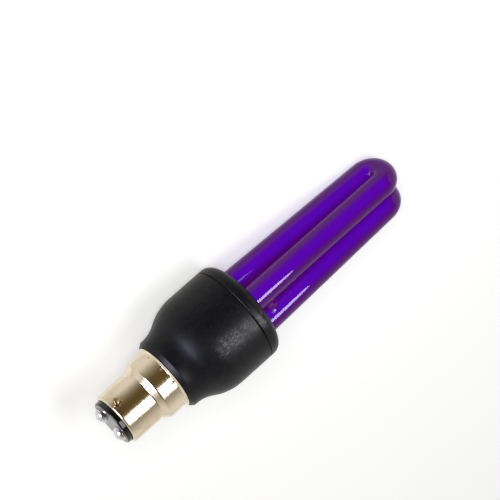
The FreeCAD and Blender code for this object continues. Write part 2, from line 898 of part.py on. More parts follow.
def trigger_diode():
    """Small glass diode on end."""
    return standing_part(bead(trigger_radius, trigger_length), trigger_length, trigger_turn)


def filter_core():
    """Ferrite drum under the board."""
    low = parts_top - filter_height
    drum = turned([
        (0, low, 0),
        (filter_radius, low, 0),
        (filter_radius, low + filter_flange, 0),
        (filter_core_radius, low + filter_flange, 0),
        (filter_core_radius, parts_top - filter_flange, 0),
        (filter_radius, parts_top - filter_flange, 0),
        (filter_radius, parts_top, 0),
        (0, parts_top, 0),
    ])
    drum.translate(FreeCAD.Vector(ring_radius, 0, 0))
    for x, y in row_points((ring_radius, 0), filter_pitch, 2):
        hole = FreeCAD.Vector(x, y, parts_top - filter_flange)
        drum = drum.cut(Part.makeCylinder(lead_radius + fit, filter_flange, hole))
    return round_the_wall(drum, filter_turn)


def filter_winding():
    """Wire wound on the drum, with its two ends up through the drum's flange."""
    low = parts_top - filter_height + filter_flange + seat_gap
    height = filter_height - 2 * filter_flange - 2 * seat_gap
    centre = FreeCAD.Vector(ring_radius, 0, low)
    coil = Part.makeCylinder(filter_radius - fit, height, centre)
    coil = coil.cut(Part.makeCylinder(filter_core_radius + seat_gap, height, centre))
    points = row_points((ring_radius, 0), filter_pitch, 2)
    ends = [lead(point, stand_off + 2 * filter_flange) for point in points]
    return round_the_wall(joined([coil] + ends), filter_turn)


def resting_tilt():
    """Angle of the line that touches the cover's rounded edge and the front tube's bend from below."""
    bend = Bend(FRONT, LEFT, front_crown)
    along = bend.centre.z - (cover_top - cover_round)
    drop = body_radius - cover_round
    lift = bend.radius + tube_radius - cover_round
    return math.degrees(math.atan2(drop, along) - math.asin(lift / math.hypot(drop, along)))


def laid(shape, place):
    """Shape moved from the lamp's own axis to where it rests."""
    moved = shape.copy()
    moved.Placement = place.multiply(moved.Placement)
    return moved


def resting_place(shapes):
    """Placement of the lamp on its side, tip down, over the middle of its footprint at the origin."""
    side_up = FreeCAD.Rotation(AXIS, -UP)
    along_x = FreeCAD.Rotation(FreeCAD.Vector(1, 0, 1), 180)
    tip_down = FreeCAD.Rotation(FreeCAD.Vector(0, 1, 0), resting_tilt())
    place = FreeCAD.Placement(ORIGIN, tip_down.multiply(along_x).multiply(side_up))
    box = Part.makeCompound([laid(shape, place) for shape in shapes]).optimalBoundingBox(False)
    place.Base = FreeCAD.Vector(-box.Center.x, -box.Center.y, -box.ZMin)
    return place


pieces = {
    "cap_shell": cap_shell(),
    "bayonet_pin_front": bayonet_pin(pin_turn),
    "bayonet_pin_back": bayonet_pin(pin_turn + 180),
    "cap_insulator": cap_insulator(),
    "contact_eyelet_1": contact_eyelet(contact_turns[0]),
    "contact_eyelet_2": contact_eyelet(contact_turns[1]),
    "solder_contact_1": solder_contact(contact_turns[0]),
    "solder_contact_2": solder_contact(contact_turns[1]),
    "supply_lead_1": supply_lead(supply_place_1, contact_turns[0]),
    "supply_lead_2": supply_lead(supply_place_2, contact_turns[1]),
    "lower_housing": lower_housing(),
    "upper_cover": upper_cover(),
    "discharge_tube": discharge_tube(),
    "tube_cement": tube_cement(),
    "electrode_leads_1": electrode_leads(LEFT),
    "electrode_leads_2": electrode_leads(BACK),
}
board_pieces = {
    "circuit_board": circuit_board(),
    "choke_core": choke_core(),
    "choke_bobbin": choke_bobbin(),
    "choke_winding": choke_winding(),
    "toroid_core": toroid_core(),
    "toroid_windings": toroid_windings(),
    "bulk_capacitor": bulk_capacitor(),
    "resonant_capacitor": film_capacitor(resonant_turn),
    "blocking_capacitor": film_capacitor(blocking_turn),
    "transistor_1": transistor(transistor_turn_1),
    "transistor_2": transistor(transistor_turn_2),
    "rectifier_diodes": rectifier_diodes(),
    "fusible_resistor": fusible_resistor(),
    "trigger_diode": trigger_diode(),
    "filter_core": filter_core(),
    "filter_winding": filter_winding(),
}
for name, shape in board_pieces.items():
    pieces[name] = round_the_wall(shape, board_turn)

os.makedirs("parts", exist_ok=True)
lamp_place = resting_place(list(pieces.values()))
for name, shape in pieces.items():
    laid(shape, lamp_place).exportStep("parts/" + name + ".step")
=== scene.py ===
import json
import logging
import math
from abc import ABC, abstractmethod
from dataclasses import dataclass
from enum import Enum

import bmesh
import bpy
import numpy as np
from mathutils import Matrix


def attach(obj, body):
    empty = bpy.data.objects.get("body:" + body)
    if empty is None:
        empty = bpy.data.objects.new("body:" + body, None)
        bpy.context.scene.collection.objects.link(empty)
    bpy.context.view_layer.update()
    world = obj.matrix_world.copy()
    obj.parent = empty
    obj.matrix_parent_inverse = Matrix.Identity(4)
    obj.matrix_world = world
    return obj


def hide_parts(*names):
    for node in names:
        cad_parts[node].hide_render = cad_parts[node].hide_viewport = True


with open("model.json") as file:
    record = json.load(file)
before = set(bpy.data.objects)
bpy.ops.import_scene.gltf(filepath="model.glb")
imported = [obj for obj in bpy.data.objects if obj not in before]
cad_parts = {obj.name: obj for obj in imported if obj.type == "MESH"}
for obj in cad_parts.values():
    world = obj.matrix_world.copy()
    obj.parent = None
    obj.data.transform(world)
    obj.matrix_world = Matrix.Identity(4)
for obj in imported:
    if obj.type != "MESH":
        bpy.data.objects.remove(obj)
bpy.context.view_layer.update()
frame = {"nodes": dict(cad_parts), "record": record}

# A black-light compact fluorescent lamp with a bayonet cap, as it rests on a table.
# Its visible pieces are surfaces worked out in the lamp's own millimetres: Z runs from the cap's
# mouth to the tip, X towards the front leg of the glass and Y towards the right leg.

Array = np.ndarray
Pair = tuple[float, float]
Triple = tuple[float, float, float]
Piece = bpy.types.Object
Tree = bpy.types.NodeTree
Socket = bpy.types.NodeSocket
Inputs = dict[str | int, Socket | float | tuple]

MM = 0.001
MERGE = 2e-6
TINY = 1e-6
ARC_PARTS = 6
OWN_SPACE = "lamp_mm"
TURN_WAY = "turn_way"

log = logging.getLogger("lamp")


class Slot(Enum):
    """Names of the record's material slots."""

    NICKEL = "nickel_plated_brass"
    SOLDER = "solder"
    INSULATOR = "black_insulator"
    HOUSING = "black_housing"
    GLASS = "violet_glass"


class Leg(Enum):
    """The glass legs, by their turn about the lamp's axis in degrees."""

    FRONT = 0.0
    RIGHT = 90.0
    BACK = 180.0
    LEFT = 270.0


class LightShape(Enum):
    """Outlines of a studio light."""

    RECTANGLE = "RECTANGLE"
    ELLIPSE = "ELLIPSE"


def unit(vector: Array) -> Array:
    """Vector, or each row of an array of them, at length one."""
    return vector / np.linalg.norm(vector, axis=-1, keepdims=True)


def polar(radius: Array | float, turn: Array | float, height: Array | float) -> Array:
    """Points at a radius, a turn in radians and a height, in the lamp's millimetres."""
    parts = np.broadcast_arrays(radius * np.cos(turn), radius * np.sin(turn), height)
    return np.stack(parts, axis=-1)


def full_turn(count: int, first: float = 0.0) -> Array:
    """Equal turns in radians once round, from a first one."""
    return first + np.arange(count) * (2 * math.pi / count)


def rounded_outline(corners: list[Triple], step: float, closed: bool = True) -> Array:
    """Outline through (radius, height, rounding) corners.

    Each corner is replaced by the arc of its rounding that touches both sides: with e and l the arc's
    ends seen from its centre and w its sweep, the arc is (sin((1 - t) w) e + sin(t w) l) / sin w.

    Args:
        corners: corners in order, with a rounding of 0 for a sharp one.
        step: longest distance between points on a straight side, in millimetres.
        closed: whether the last corner joins the first.

    Returns:
        Points of the outline, one row of (radius, height) each.
    """
    points = np.array([corner[:2] for corner in corners])
    spans: list[Array] = []
    for index, here in enumerate(points):
        rounding = corners[index][2]
        if rounding == 0:
            spans.append(here[None])
            continue
        back = unit(points[index - 1] - here)
        ahead = unit(points[(index + 1) % len(points)] - here)
        half = math.acos(float(back @ ahead)) / 2
        centre = here + unit(back + ahead) * rounding / math.sin(half)
        reach = rounding / math.tan(half)
        entry = here + back * reach - centre
        leave = here + ahead * reach - centre
        sweep = math.pi - 2 * half
        parts = max(ARC_PARTS, math.ceil(rounding * sweep / step))
        share = np.linspace(0, 1, parts + 1)[:, None]
        bow = np.sin((1 - share) * sweep) * entry + np.sin(share * sweep) * leave
        spans.append(centre + bow / math.sin(sweep))
    runs: list[Array] = []
    for index in range(len(spans) if closed else len(spans) - 1):
        start = spans[index][-1]
        end = spans[(index + 1) % len(spans)][0]
        parts = max(1, math.ceil(float(np.linalg.norm(end - start)) / step))
        share = np.linspace(0, 1, parts + 1)[1:-1, None]
        runs += [spans[index], start + (end - start) * share]
    if not closed:
        runs.append(spans[-1])
    return np.concatenate(runs)


def revolved(outline: Array, turns: Array) -> Array:
    """Grid of an outline carried round the lamp's axis: row i is the outline at turn i."""
    return polar(outline[None, :, 0], turns[:, None], outline[None, :, 1])


@dataclass(frozen=True)
class Patch:
    """A surface as a grid of points in the lamp's millimetres, and the ways it closes on itself."""

    grid: Array
    round_rows: bool = False
    round_columns: bool = False

    def quads(self) -> Array:
        """Numbers the corners of the grid's faces.

        Returns:
            One row of four corner numbers for each face.
        """
        rows, columns = self.grid.shape[:2]
        number = np.arange(rows * columns).reshape(rows, columns)
        if self.round_rows:
            number = np.vstack([number, number[:1]])
        if self.round_columns:
            number = np.hstack([number, number[:, :1]])
        around = [number[:-1, :-1], number[1:, :-1], number[1:, 1:], number[:-1, 1:]]
        return np.stack(around, axis=-1).reshape(-1, 4)


@dataclass(frozen=True)
class LampFrame:
    """The lamp's own axes where it lies.

    Attributes:
        origin: middle of the cap's mouth, in metres.
        axes: rows are the directions of the front leg, of the right leg and of the tip.
    """

    origin: Array
    axes: Array

    @classmethod
    def from_record(cls, record: dict, pin_turn: float) -> "LampFrame":
        """Axes read from the cap's mounts.

        Args:
            record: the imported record, whose mounts give the cap's axis and a pin's.
            pin_turn: turn of the front pin from the front leg, in degrees.

        Returns:
            The frame that the lamp's millimetres are placed by.
        """
        mounts = {mount["name"]: mount for mount in record["mounts"]}
        tip = -unit(np.array(mounts["bayonet_cap"]["axis"]))
        pin = unit(np.array(mounts["bayonet_pin_front"]["axis"]))
        turn = math.radians(pin_turn)
        front = unit(math.cos(turn) * pin - math.sin(turn) * np.cross(tip, pin))
        axes = np.stack([front, np.cross(tip, front), tip])
        return cls(np.array(mounts["bayonet_cap"]["pos_m"]), axes)

    def place(self, points: Array) -> Array:
        """World metres of points in the lamp's millimetres."""
        return self.origin + MM * points @ self.axes

    def direction(self, vector: Array) -> Array:
        """World direction of a direction in the lamp's axes."""
        return np.asarray(vector) @ self.axes

    def piece(self, name: str, patches: list[Patch], sharp: float = 35.0) -> Piece:
        """Closed mesh object from patches that share their edges.

        Args:
            name: the piece's name.
            patches: surfaces whose meeting edges have the same points.
            sharp: angle in degrees past which an edge stays sharp.

        Returns:
            The object, at the origin, with its own millimetres kept as an attribute.
        """
        points = np.concatenate([patch.grid.reshape(-1, 3) for patch in patches])
        sizes = [patch.grid.shape[0] * patch.grid.shape[1] for patch in patches]
        starts = np.cumsum([0] + sizes[:-1])
        quads = np.concatenate([patch.quads() + start for patch, start in zip(patches, starts)])
        mesh = bpy.data.meshes.new(name)
        mesh.from_pydata(self.place(points).tolist(), [], quads.tolist())
        turns = np.arctan2(points[:, 1], points[:, 0])
        ways = self.direction(polar(1.0, turns + math.pi / 2, 0.0))
        for kept, values in ((OWN_SPACE, points), (TURN_WAY, ways)):
            attribute = mesh.attributes.new(kept, "FLOAT_VECTOR", "POINT")
            attribute.data.foreach_set("vector", values.astype(np.float32).ravel())
        work = bmesh.new()
        work.from_mesh(mesh)
        bmesh.ops.remove_doubles(work, verts=work.verts, dist=MERGE)
        bmesh.ops.recalc_face_normals(work, faces=work.faces)
        work.to_mesh(mesh)
        work.free()
        mesh.shade_smooth()
        mesh.set_sharp_from_angle(angle=math.radians(sharp))
        made = bpy.data.objects.new(name, mesh)
        bpy.context.scene.collection.objects.link(made)
        return made


def linear(code: str) -> tuple[float, float, float, float]:
    """Linear colour of an sRGB hex code.

    Args:
        code: the colour, as # and six hex digits.

    Returns:
        Red, green, blue and an alpha of 1.
    """
    shares = [int(code[at:at + 2], 16) / 255 for at in (1, 3, 5)]
    red, green, blue = [s / 12.92 if s <= 0.04045 else ((s + 0.055) / 1.055) ** 2.4 for s in shares]
    return red, green, blue, 1.0


def feed(tree: Tree, node: bpy.types.Node, inputs: Inputs) -> None:
    """Sets a node's inputs to values, or links them to sockets.

    Args:
        tree: the node tree that holds the node.
        node: the node.
        inputs: values or sockets by input name or number.
    """
    for key, value in inputs.items():
        if isinstance(value, Socket):
            tree.links.new(value, node.inputs[key])
        else:
            node.inputs[key].default_value = value


def add_node(tree: Tree, kind: str, inputs: Inputs | None = None, out: str | int = 0,
             **settings: str) -> Socket:
    """Adds a shader node with its settings, input values and links.

    Args:
        tree: the node tree to add to.
        kind: the node's type, without the words that all types start with.
        inputs: values or sockets by input name or number.
        out: name or number of the output to give back.
        settings: properties of the node.

    Returns:
        The new node's output.
    """
    node = tree.nodes.new("ShaderNode" + kind)
    for key, value in settings.items():
        setattr(node, key, value)
    feed(tree, node, inputs or {})
    return node.outputs[out]


class Finish(ABC):
    """A surface finish that makes its material once."""

    name: str

    def material(self) -> bpy.types.Material:
        """Makes the finish's material on first use.

        Returns:
            The material.
        """
        made = bpy.data.materials.get(self.name)
        if made is None:
            made = bpy.data.materials.new(self.name)
            made.use_nodes = True
            tree = made.node_tree
            feed(tree, tree.nodes["Principled BSDF"], self.shade(tree))
        return made

    @abstractmethod
    def shade(self, tree: Tree) -> Inputs:
        """Values and patterns for the surface shader's inputs."""


@dataclass(frozen=True)
class MottledFinish(Finish):
    """A surface whose colour, roughness and relief vary in soft spots of one size.

    Attributes:
        name: the real material.
        dark: colour of the darker spots.
        light: colour of the lighter spots.
        spot_mm: size of the spots.
        roughness: roughness in the darker and the lighter spots.
        relief_mm: height of the relief.
        metallic: 1 for a metal.
        ior: refractive index, left alone for a metal.
    """

    name: str
    dark: str
    light: str
    spot_mm: float
    roughness: Pair
    relief_mm: float
    metallic: float = 0.0
    ior: float = 1.5

    def shade(self, tree: Tree) -> Inputs:
        """Soft spots from fractal noise on the object's own metres.

        Args:
            tree: the material's node tree.

        Returns:
            The surface shader's inputs.
        """
        where = add_node(tree, "TexCoord", out="Object")
        scale = 1 / (self.spot_mm * MM)
        spots = add_node(tree, "TexNoise", {"Vector": where, "Scale": scale, "Detail": 4.0})
        ends = {0: spots, 6: linear(self.dark), 7: linear(self.light)}
        low, high = self.roughness
        inputs = {
            "Base Color": add_node(tree, "Mix", ends, 2, data_type="RGBA"),
            "Roughness": add_node(tree, "MapRange", {"Value": spots, "To Min": low, "To Max": high}),
            "Metallic": self.metallic,
            "Normal": add_node(tree, "Bump", {"Height": spots, "Distance": self.relief_mm * MM}),
        }
        if self.metallic == 0:
            inputs["IOR"] = self.ior
        return inputs


@dataclass(frozen=True)
class NickelPlate(Finish):
    """Bright nickel on drawn brass: warm mirror bands, faint draw rings and slight tarnish."""

    name: str = "bright_nickel_on_drawn_brass"
    clean: str = "#e2d6c0"
    tarnish: str = "#bda985"
    tarnish_mm: float = 7.0
    tarnish_range: Pair = (0.48, 0.85)
    # Coarser than real draw rings, so that they show.
    ring_mm: float = 0.18
    ring_stretch: Triple = (0.08, 0.08, 1.0)
    ring_range: Pair = (0.25, 0.75)
    sway: float = 0.035
    roughness: Pair = (0.14, 0.24)

    def shade(self, tree: Tree) -> Inputs:
        """Tarnish clouds, and draw rings whose skin sways a little round the axis.

        Args:
            tree: the material's node tree.

        Returns:
            The surface shader's inputs.
        """
        own = add_node(tree, "Attribute", out="Vector", attribute_name=OWN_SPACE)
        cloud = add_node(tree, "TexNoise",
                         {"Vector": own, "Scale": 1 / self.tarnish_mm, "Detail": 5.0, "Roughness": 0.6})
        least, most = self.tarnish_range
        spread = add_node(tree, "MapRange", {"Value": cloud, "From Min": least, "From Max": most})
        ends = {0: spread, 6: linear(self.clean), 7: linear(self.tarnish)}
        drawn = add_node(tree, "Mapping", {"Vector": own, "Scale": self.ring_stretch})
        rings = add_node(tree, "TexNoise", {"Vector": drawn, "Scale": 1 / self.ring_mm, "Detail": 2.0})
        least, most = self.ring_range
        sway = add_node(tree, "MapRange", {"Value": rings, "From Min": least, "From Max": most,
                                           "To Min": -self.sway, "To Max": self.sway})
        way = add_node(tree, "Attribute", out="Vector", attribute_name=TURN_WAY)
        lean = add_node(tree, "VectorMath", {0: way, "Scale": sway}, operation="SCALE")
        plain = add_node(tree, "NewGeometry", out="Normal")
        swayed = add_node(tree, "VectorMath", {0: plain, 1: lean}, operation="ADD")
        low, high = self.roughness
        return {
            "Base Color": add_node(tree, "Mix", ends, 2, data_type="RGBA"),
            "Roughness": add_node(tree, "MapRange", {"Value": cloud, "To Min": low, "To Max": high}),
            "Metallic": 1.0,
            "Normal": add_node(tree, "VectorMath", {0: swayed}, operation="NORMALIZE"),
        }


@dataclass(frozen=True)
class BlackMoulding(Finish):
    """Black moulded polyester: a fine matte grain with a cool sheen, and pale rub marks that are partly
    wear and partly painted sheen.

    A spot of the pale marks is its turn in degrees, its height and its reach in millimetres; the spots lie
    where the sheen falls, so the paler marks there are painted sheen.
    """

    name: str = "black_moulded_polyester"
    deep: str = "#050509"
    worn: str = "#0e0e15"
    # Pale colour of the rub marks: wear, and painted sheen where the spots gather them.
    wear_and_sheen: str = "#a4a4b0"
    tone_mm: float = 16.0
    # Coarser than the real grain, so that it shows.
    grain_mm: float = 0.55
    grain_relief_mm: float = 0.02
    mark_mm: float = 0.36
    mark_lean: Triple = (0.5, 0.3, 0.0)
    mark_stretch: Triple = (1.0, 1.0, 0.4)
    mark_range: Pair = (0.47, 0.64)
    patch_mm: float = 2.6
    patch_range: Pair = (0.36, 0.56)
    # Rub strength: a little anywhere as wear, most round spots where the sheen falls, as painted sheen.
    wear_and_sheen_radius: float = 21.0
    rub_least: float = 0.03
    wear_and_sheen_most: float = 0.52
    wear_and_sheen_core: float = 0.2
    wear_and_sheen_spots: tuple[Triple, ...] = (
        (18.0, 46.0, 5.5), (18.0, 50.5, 5.5), (19.0, 56.5, 5.0), (22.0, 64.0, 4.5))
    roughness: Pair = (0.36, 0.46)
    ior: float = 1.57
    sheen_level: float = 0.16

    def marks(self, tree: Tree, own: Socket) -> Socket:
        """Fine slanted rub marks, broken into patches.

        Args:
            tree: the material's node tree.
            own: the lamp's own millimetres.

        Returns:
            1 on a mark and 0 off it.
        """
        slanted = {"Vector": own, "Rotation": self.mark_lean, "Scale": self.mark_stretch}
        strokes = {"Vector": add_node(tree, "Mapping", slanted), "Scale": 1 / self.mark_mm, "Detail": 4.0,
                   "Roughness": 0.7, "Distortion": 0.4}
        patches = {"Vector": own, "Scale": 1 / self.patch_mm, "Detail": 2.0}
        shares = []
        for noise, (least, most) in ((strokes, self.mark_range), (patches, self.patch_range)):
            limits = {"Value": add_node(tree, "TexNoise", noise), "From Min": least, "From Max": most}
            shares.append(add_node(tree, "MapRange", limits))
        return add_node(tree, "Math", dict(enumerate(shares)), operation="MULTIPLY")

    def wear_and_sheen_strength(self, tree: Tree, own: Socket) -> Socket:
        """Strength of the pale rub marks: a little anywhere as wear, and more towards each spot where the
        sheen falls, as painted sheen.

        Args:
            tree: the material's node tree.
            own: the lamp's own millimetres.

        Returns:
            The share of the pale colour, wear and painted sheen, that a mark gets.
        """
        strength = self.rub_least
        for turn, height, reach in self.wear_and_sheen_spots:
            spot = tuple(polar(self.wear_and_sheen_radius, math.radians(turn), height))
            far = add_node(tree, "VectorMath", {0: own, 1: spot}, "Value", operation="DISTANCE")
            near = add_node(tree, "MapRange", {"Value": far, "From Min": reach,
                                               "From Max": self.wear_and_sheen_core * reach, "To Max": self.wear_and_sheen_most})
            strength = add_node(tree, "Math", {0: near, 1: strength}, operation="MAXIMUM")
        return strength

    def shade(self, tree: Tree) -> Inputs:
        """Tone clouds, grain, and pale rub marks, wear that turns to painted sheen round the spots where
        the sheen falls.

        Args:
            tree: the material's node tree.

        Returns:
            The surface shader's inputs.
        """
        own = add_node(tree, "Attribute", out="Vector", attribute_name=OWN_SPACE)
        tone = add_node(tree, "TexNoise", {"Vector": own, "Scale": 1 / self.tone_mm, "Detail": 4.0})
        tones = {0: tone, 6: linear(self.deep), 7: linear(self.worn)}
        base = add_node(tree, "Mix", tones, 2, data_type="RGBA")
        # Pale rub marks, partly wear and partly painted sheen.
        rub_and_sheen = {0: self.marks(tree, own), 1: self.wear_and_sheen_strength(tree, own)}
        ends = {0: add_node(tree, "Math", rub_and_sheen, operation="MULTIPLY"), 6: base, 7: linear(self.wear_and_sheen)}
        grain = add_node(tree, "TexNoise", {"Vector": own, "Scale": 1 / self.grain_mm, "Detail": 3.0})
        relief = {"Height": grain, "Distance": self.grain_relief_mm * MM, "Strength": 0.5}
        low, high = self.roughness
        return {
            "Base Color": add_node(tree, "Mix", ends, 2, data_type="RGBA"),
            "Roughness": add_node(tree, "MapRange", {"Value": tone, "To Min": low, "To Max": high}),
            "IOR": self.ior,
            "Specular IOR Level": self.sheen_level,
            "Normal": add_node(tree, "Bump", relief),
        }


@dataclass(frozen=True)
class VioletGlass(Finish):
    """Violet filter glass over a coated inside: deep even colour under a clear hard gloss.

    Towards a tube's sides the way through the glass is longer, so its colour turns darker and redder.
    """

    name: str = "violet_filter_glass"
    deep: str = "#3f0089"
    bright: str = "#460095"
    side: str = "#3c0450"
    side_reach: float = 0.24
    glow: float = 1.0
    tone_mm: float = 22.0
    ripple_mm: float = 5.0
    ripple_stretch: Triple = (1.0, 1.0, 0.2)
    ripple_relief_mm: float = 0.0001
    roughness: Pair = (0.02, 0.05)
    ior: float = 1.5
    gloss_level: float = 0.22

    def shade(self, tree: Tree) -> Inputs:
        """Slow tone along the tube, darker sides, and the soft ripple of drawn glass.

        Args:
            tree: the material's node tree.

        Returns:
            The surface shader's inputs.
        """
        own = add_node(tree, "Attribute", out="Vector", attribute_name=OWN_SPACE)
        tone = add_node(tree, "TexNoise", {"Vector": own, "Scale": 1 / self.tone_mm, "Detail": 2.0})
        tones = {0: tone, 6: linear(self.deep), 7: linear(self.bright)}
        core = add_node(tree, "Mix", tones, 2, data_type="RGBA")
        slant = add_node(tree, "LayerWeight", {"Blend": 0.5}, "Facing")
        through = add_node(tree, "MapRange", {"Value": slant, "From Max": self.side_reach})
        ends = {0: through, 6: core, 7: linear(self.side)}
        colour = add_node(tree, "Mix", ends, 2, data_type="RGBA")
        drawn = add_node(tree, "Mapping", {"Vector": own, "Scale": self.ripple_stretch})
        ripple = add_node(tree, "TexNoise", {"Vector": drawn, "Scale": 1 / self.ripple_mm})
        relief = {"Height": ripple, "Distance": self.ripple_relief_mm * MM, "Strength": 0.5}
        low, high = self.roughness
        return {
            "Base Color": colour,
            "Roughness": add_node(tree, "MapRange", {"Value": tone, "To Min": low, "To Max": high}),
            "IOR": self.ior,
            "Specular IOR Level": self.gloss_level,
            "Normal": add_node(tree, "Bump", relief),
            "Emission Color": colour,
            "Emission Strength": self.glow,
        }


def dress(piece: Piece, node: str, finish: Finish) -> Piece:
    """Gives a new piece its finish and its place in the frame.

    Args:
        piece: the new piece.
        node: the solid that it stands for.
        finish: its surface finish.

    Returns:
        The piece.
    """
    piece.data.materials.append(finish.material())
    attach(piece, "root")
    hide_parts(node)
    return piece


@dataclass(frozen=True)
class CrimpRing:
    """Punched dents that lock the cap's shell on the housing's spigot."""

    count: int = 12
    ball: float = 0.6
    depth: float = 0.28
    first_turn: float = 14.0
    height: float = 23.2
    radius: float = 13.1
    reach: float = 12.0

    def press(self, grid: Array) -> Array:
        """Presses the dents into a turned surface.

        A point at distance d from a punch's middle sinks by sqrt(ball^2 - d^2) - (ball - depth) towards
        the axis, where that is more than nothing.

        Args:
            grid: points in the lamp's millimetres.

        Returns:
            The same points, moved where a punch reaches them.
        """
        radius = np.hypot(grid[..., 0], grid[..., 1])
        turn = np.arctan2(grid[..., 1], grid[..., 0])
        pitch = 2 * math.pi / self.count
        across = self.radius * ((turn - math.radians(self.first_turn) + pitch / 2) % pitch - pitch / 2)
        distance = np.hypot(across, grid[..., 2] - self.height)
        ball = np.sqrt(np.clip(self.ball ** 2 - distance ** 2, 0, None))
        sink = np.clip(ball - (self.ball - self.depth), 0, None) * (radius > self.reach)
        return polar(radius - sink, turn, grid[..., 2])


@dataclass
class BayonetCap:
    """Bayonet cap: drawn shell, two pins and two soldered contacts. Lengths are millimetres."""

    wall: float = 0.35
    barrel_radius: float = 11.0
    barrel_end: float = 14.2
    flange_radius: float = 13.1
    flange_start: float = 16.6
    flare_start: float = 24.0
    rim_radius: float = 14.0
    rim_end: float = 24.7
    mouth_radius: float = 9.75
    mouth_round: float = 0.9
    step_round: float = 0.9
    flare_round: float = 0.25
    pin_turn: float = -26.5
    pin_height: float = 2.9
    pin_radius: float = 1.05
    pin_reach: float = 13.4
    pin_tip_round: float = 0.25
    pin_collar_radius: float = 1.75
    pin_collar_end: float = 11.45
    pin_collar_edge: float = 11.15
    pin_collar_rounds: Pair = (0.12, 0.1)
    pin_seat: float = 11.02
    pin_neck_radius: float = 0.85
    pin_tail_radius: float = 1.5
    pin_tail: Pair = (9.83, 10.55)
    contact_turns: Pair = (-116.5, 63.5)
    contact_offset: float = 5.3
    contact_radius: float = 3.0
    contact_height: float = 2.47
    contact_foot: float = -2.1
    contact_edge: Pair = (0.02, 0.015)
    contact_lump: float = 0.05
    insulator_radius: float = 9.6
    insulator_round: float = 0.6
    insulator_top: float = 5.0
    shell_parts: int = 360
    pin_parts: int = 72
    contact_parts: tuple[int, int] = (96, 28)
    insulator_parts: int = 180
    crimps: CrimpRing = CrimpRing()
    metal: Finish = NickelPlate()
    # Nickel rubbed through by the lamp holder: darker, with the brass showing.
    pin_metal: Finish = NickelPlate(
        "rubbed_nickel_on_brass", "#c2ae88", "#6e5c3a", tarnish_mm=1.1, sway=0.01, roughness=(0.08, 0.2))
    # Tin-lead solder that set in a bead: bright, faintly frosted, with soft hollows.
    tin: Finish = MottledFinish(
        "frozen_tin_solder", "#b9bac0", "#e6e6e8", 1.4, (0.16, 0.32), 0.06, metallic=1.0)
    # Pressed black glass: deep gloss with a soft moulded ripple.
    plug: Finish = MottledFinish("pressed_black_glass", "#020203", "#060608", 3.0, (0.03, 0.08), 0.01)

    def shell(self, place: LampFrame) -> Piece:
        """Drawn shell: its closed outline carried round the axis, with the crimps pressed in.

        Args:
            place: where the lamp lies.

        Returns:
            The shell.
        """
        flare = math.atan2(self.rim_radius - self.flange_radius, self.rim_end - self.flare_start)
        rise = math.atan2(self.flange_radius - self.barrel_radius, self.flange_start - self.barrel_end)
        step_shift = self.wall * math.tan(rise / 2)
        flare_shift = self.wall * math.tan(flare / 2)
        barrel_bore = self.barrel_radius - self.wall
        flange_bore = self.flange_radius - self.wall
        outline = rounded_outline([
            (self.mouth_radius, 0, 0),
            (self.barrel_radius, 0, self.mouth_round),
            (self.barrel_radius, self.barrel_end, self.step_round),
            (self.flange_radius, self.flange_start, self.step_round + self.wall),
            (self.flange_radius, self.flare_start, self.flare_round),
            (self.rim_radius, self.rim_end, 0),
            (self.rim_radius - self.wall / math.cos(flare), self.rim_end, 0),
            (flange_bore, self.flare_start + flare_shift, self.flare_round + self.wall),
            (flange_bore, self.flange_start + step_shift, self.step_round),
            (barrel_bore, self.barrel_end + step_shift, self.step_round + self.wall),
            (barrel_bore, self.wall, self.mouth_round - self.wall),
            (self.mouth_radius, self.wall, 0),
        ], step=0.25)
        grid = self.crimps.press(revolved(outline, full_turn(self.shell_parts)))
        return place.piece("nickel_cap_shell", [Patch(grid, round_rows=True, round_columns=True)])

    def pin(self, place: LampFrame, name: str, turn: float) -> Piece:
        """Bayonet pin: an outline of distance from the pin's axis against reach, carried round that axis.

        The collar's foot follows the barrel: there the reach is sqrt(seat^2 - across^2).

        Args:
            place: where the lamp lies.
            name: the piece's name.
            turn: the pin's turn about the lamp's axis, in degrees.

        Returns:
            The pin.
        """
        tail_low, tail_high = self.pin_tail
        inner_round, outer_round = self.pin_collar_rounds
        outline = rounded_outline([
            (0, self.pin_reach, 0),
            (self.pin_radius, self.pin_reach, self.pin_tip_round),
            (self.pin_radius, self.pin_collar_end, inner_round),
            (self.pin_collar_radius, self.pin_collar_edge, outer_round),
            (self.pin_collar_radius, self.pin_seat, 0),
            (self.pin_neck_radius, self.pin_seat, 0),
            (self.pin_neck_radius, tail_high, 0),
            (self.pin_tail_radius, tail_high, 0),
            (self.pin_tail_radius, tail_low, 0),
            (0, tail_low, 0),
        ], step=0.2, closed=False)
        around = full_turn(self.pin_parts)[:, None]
        across = outline[None, :, 0] * np.cos(around)
        along = outline[None, :, 0] * np.sin(around)
        seated = np.isclose(outline[None, :, 1], self.pin_seat)
        reach = np.where(seated, np.sqrt(self.pin_seat ** 2 - across ** 2), outline[None, :, 1])
        angle = math.radians(turn)
        out = polar(1.0, angle, 0.0)
        side = polar(1.0, angle + math.pi / 2, 0.0)
        grid = reach[..., None] * out + across[..., None] * side
        grid[..., 2] += self.pin_height + along
        return place.piece(name, [Patch(grid, round_rows=True)])

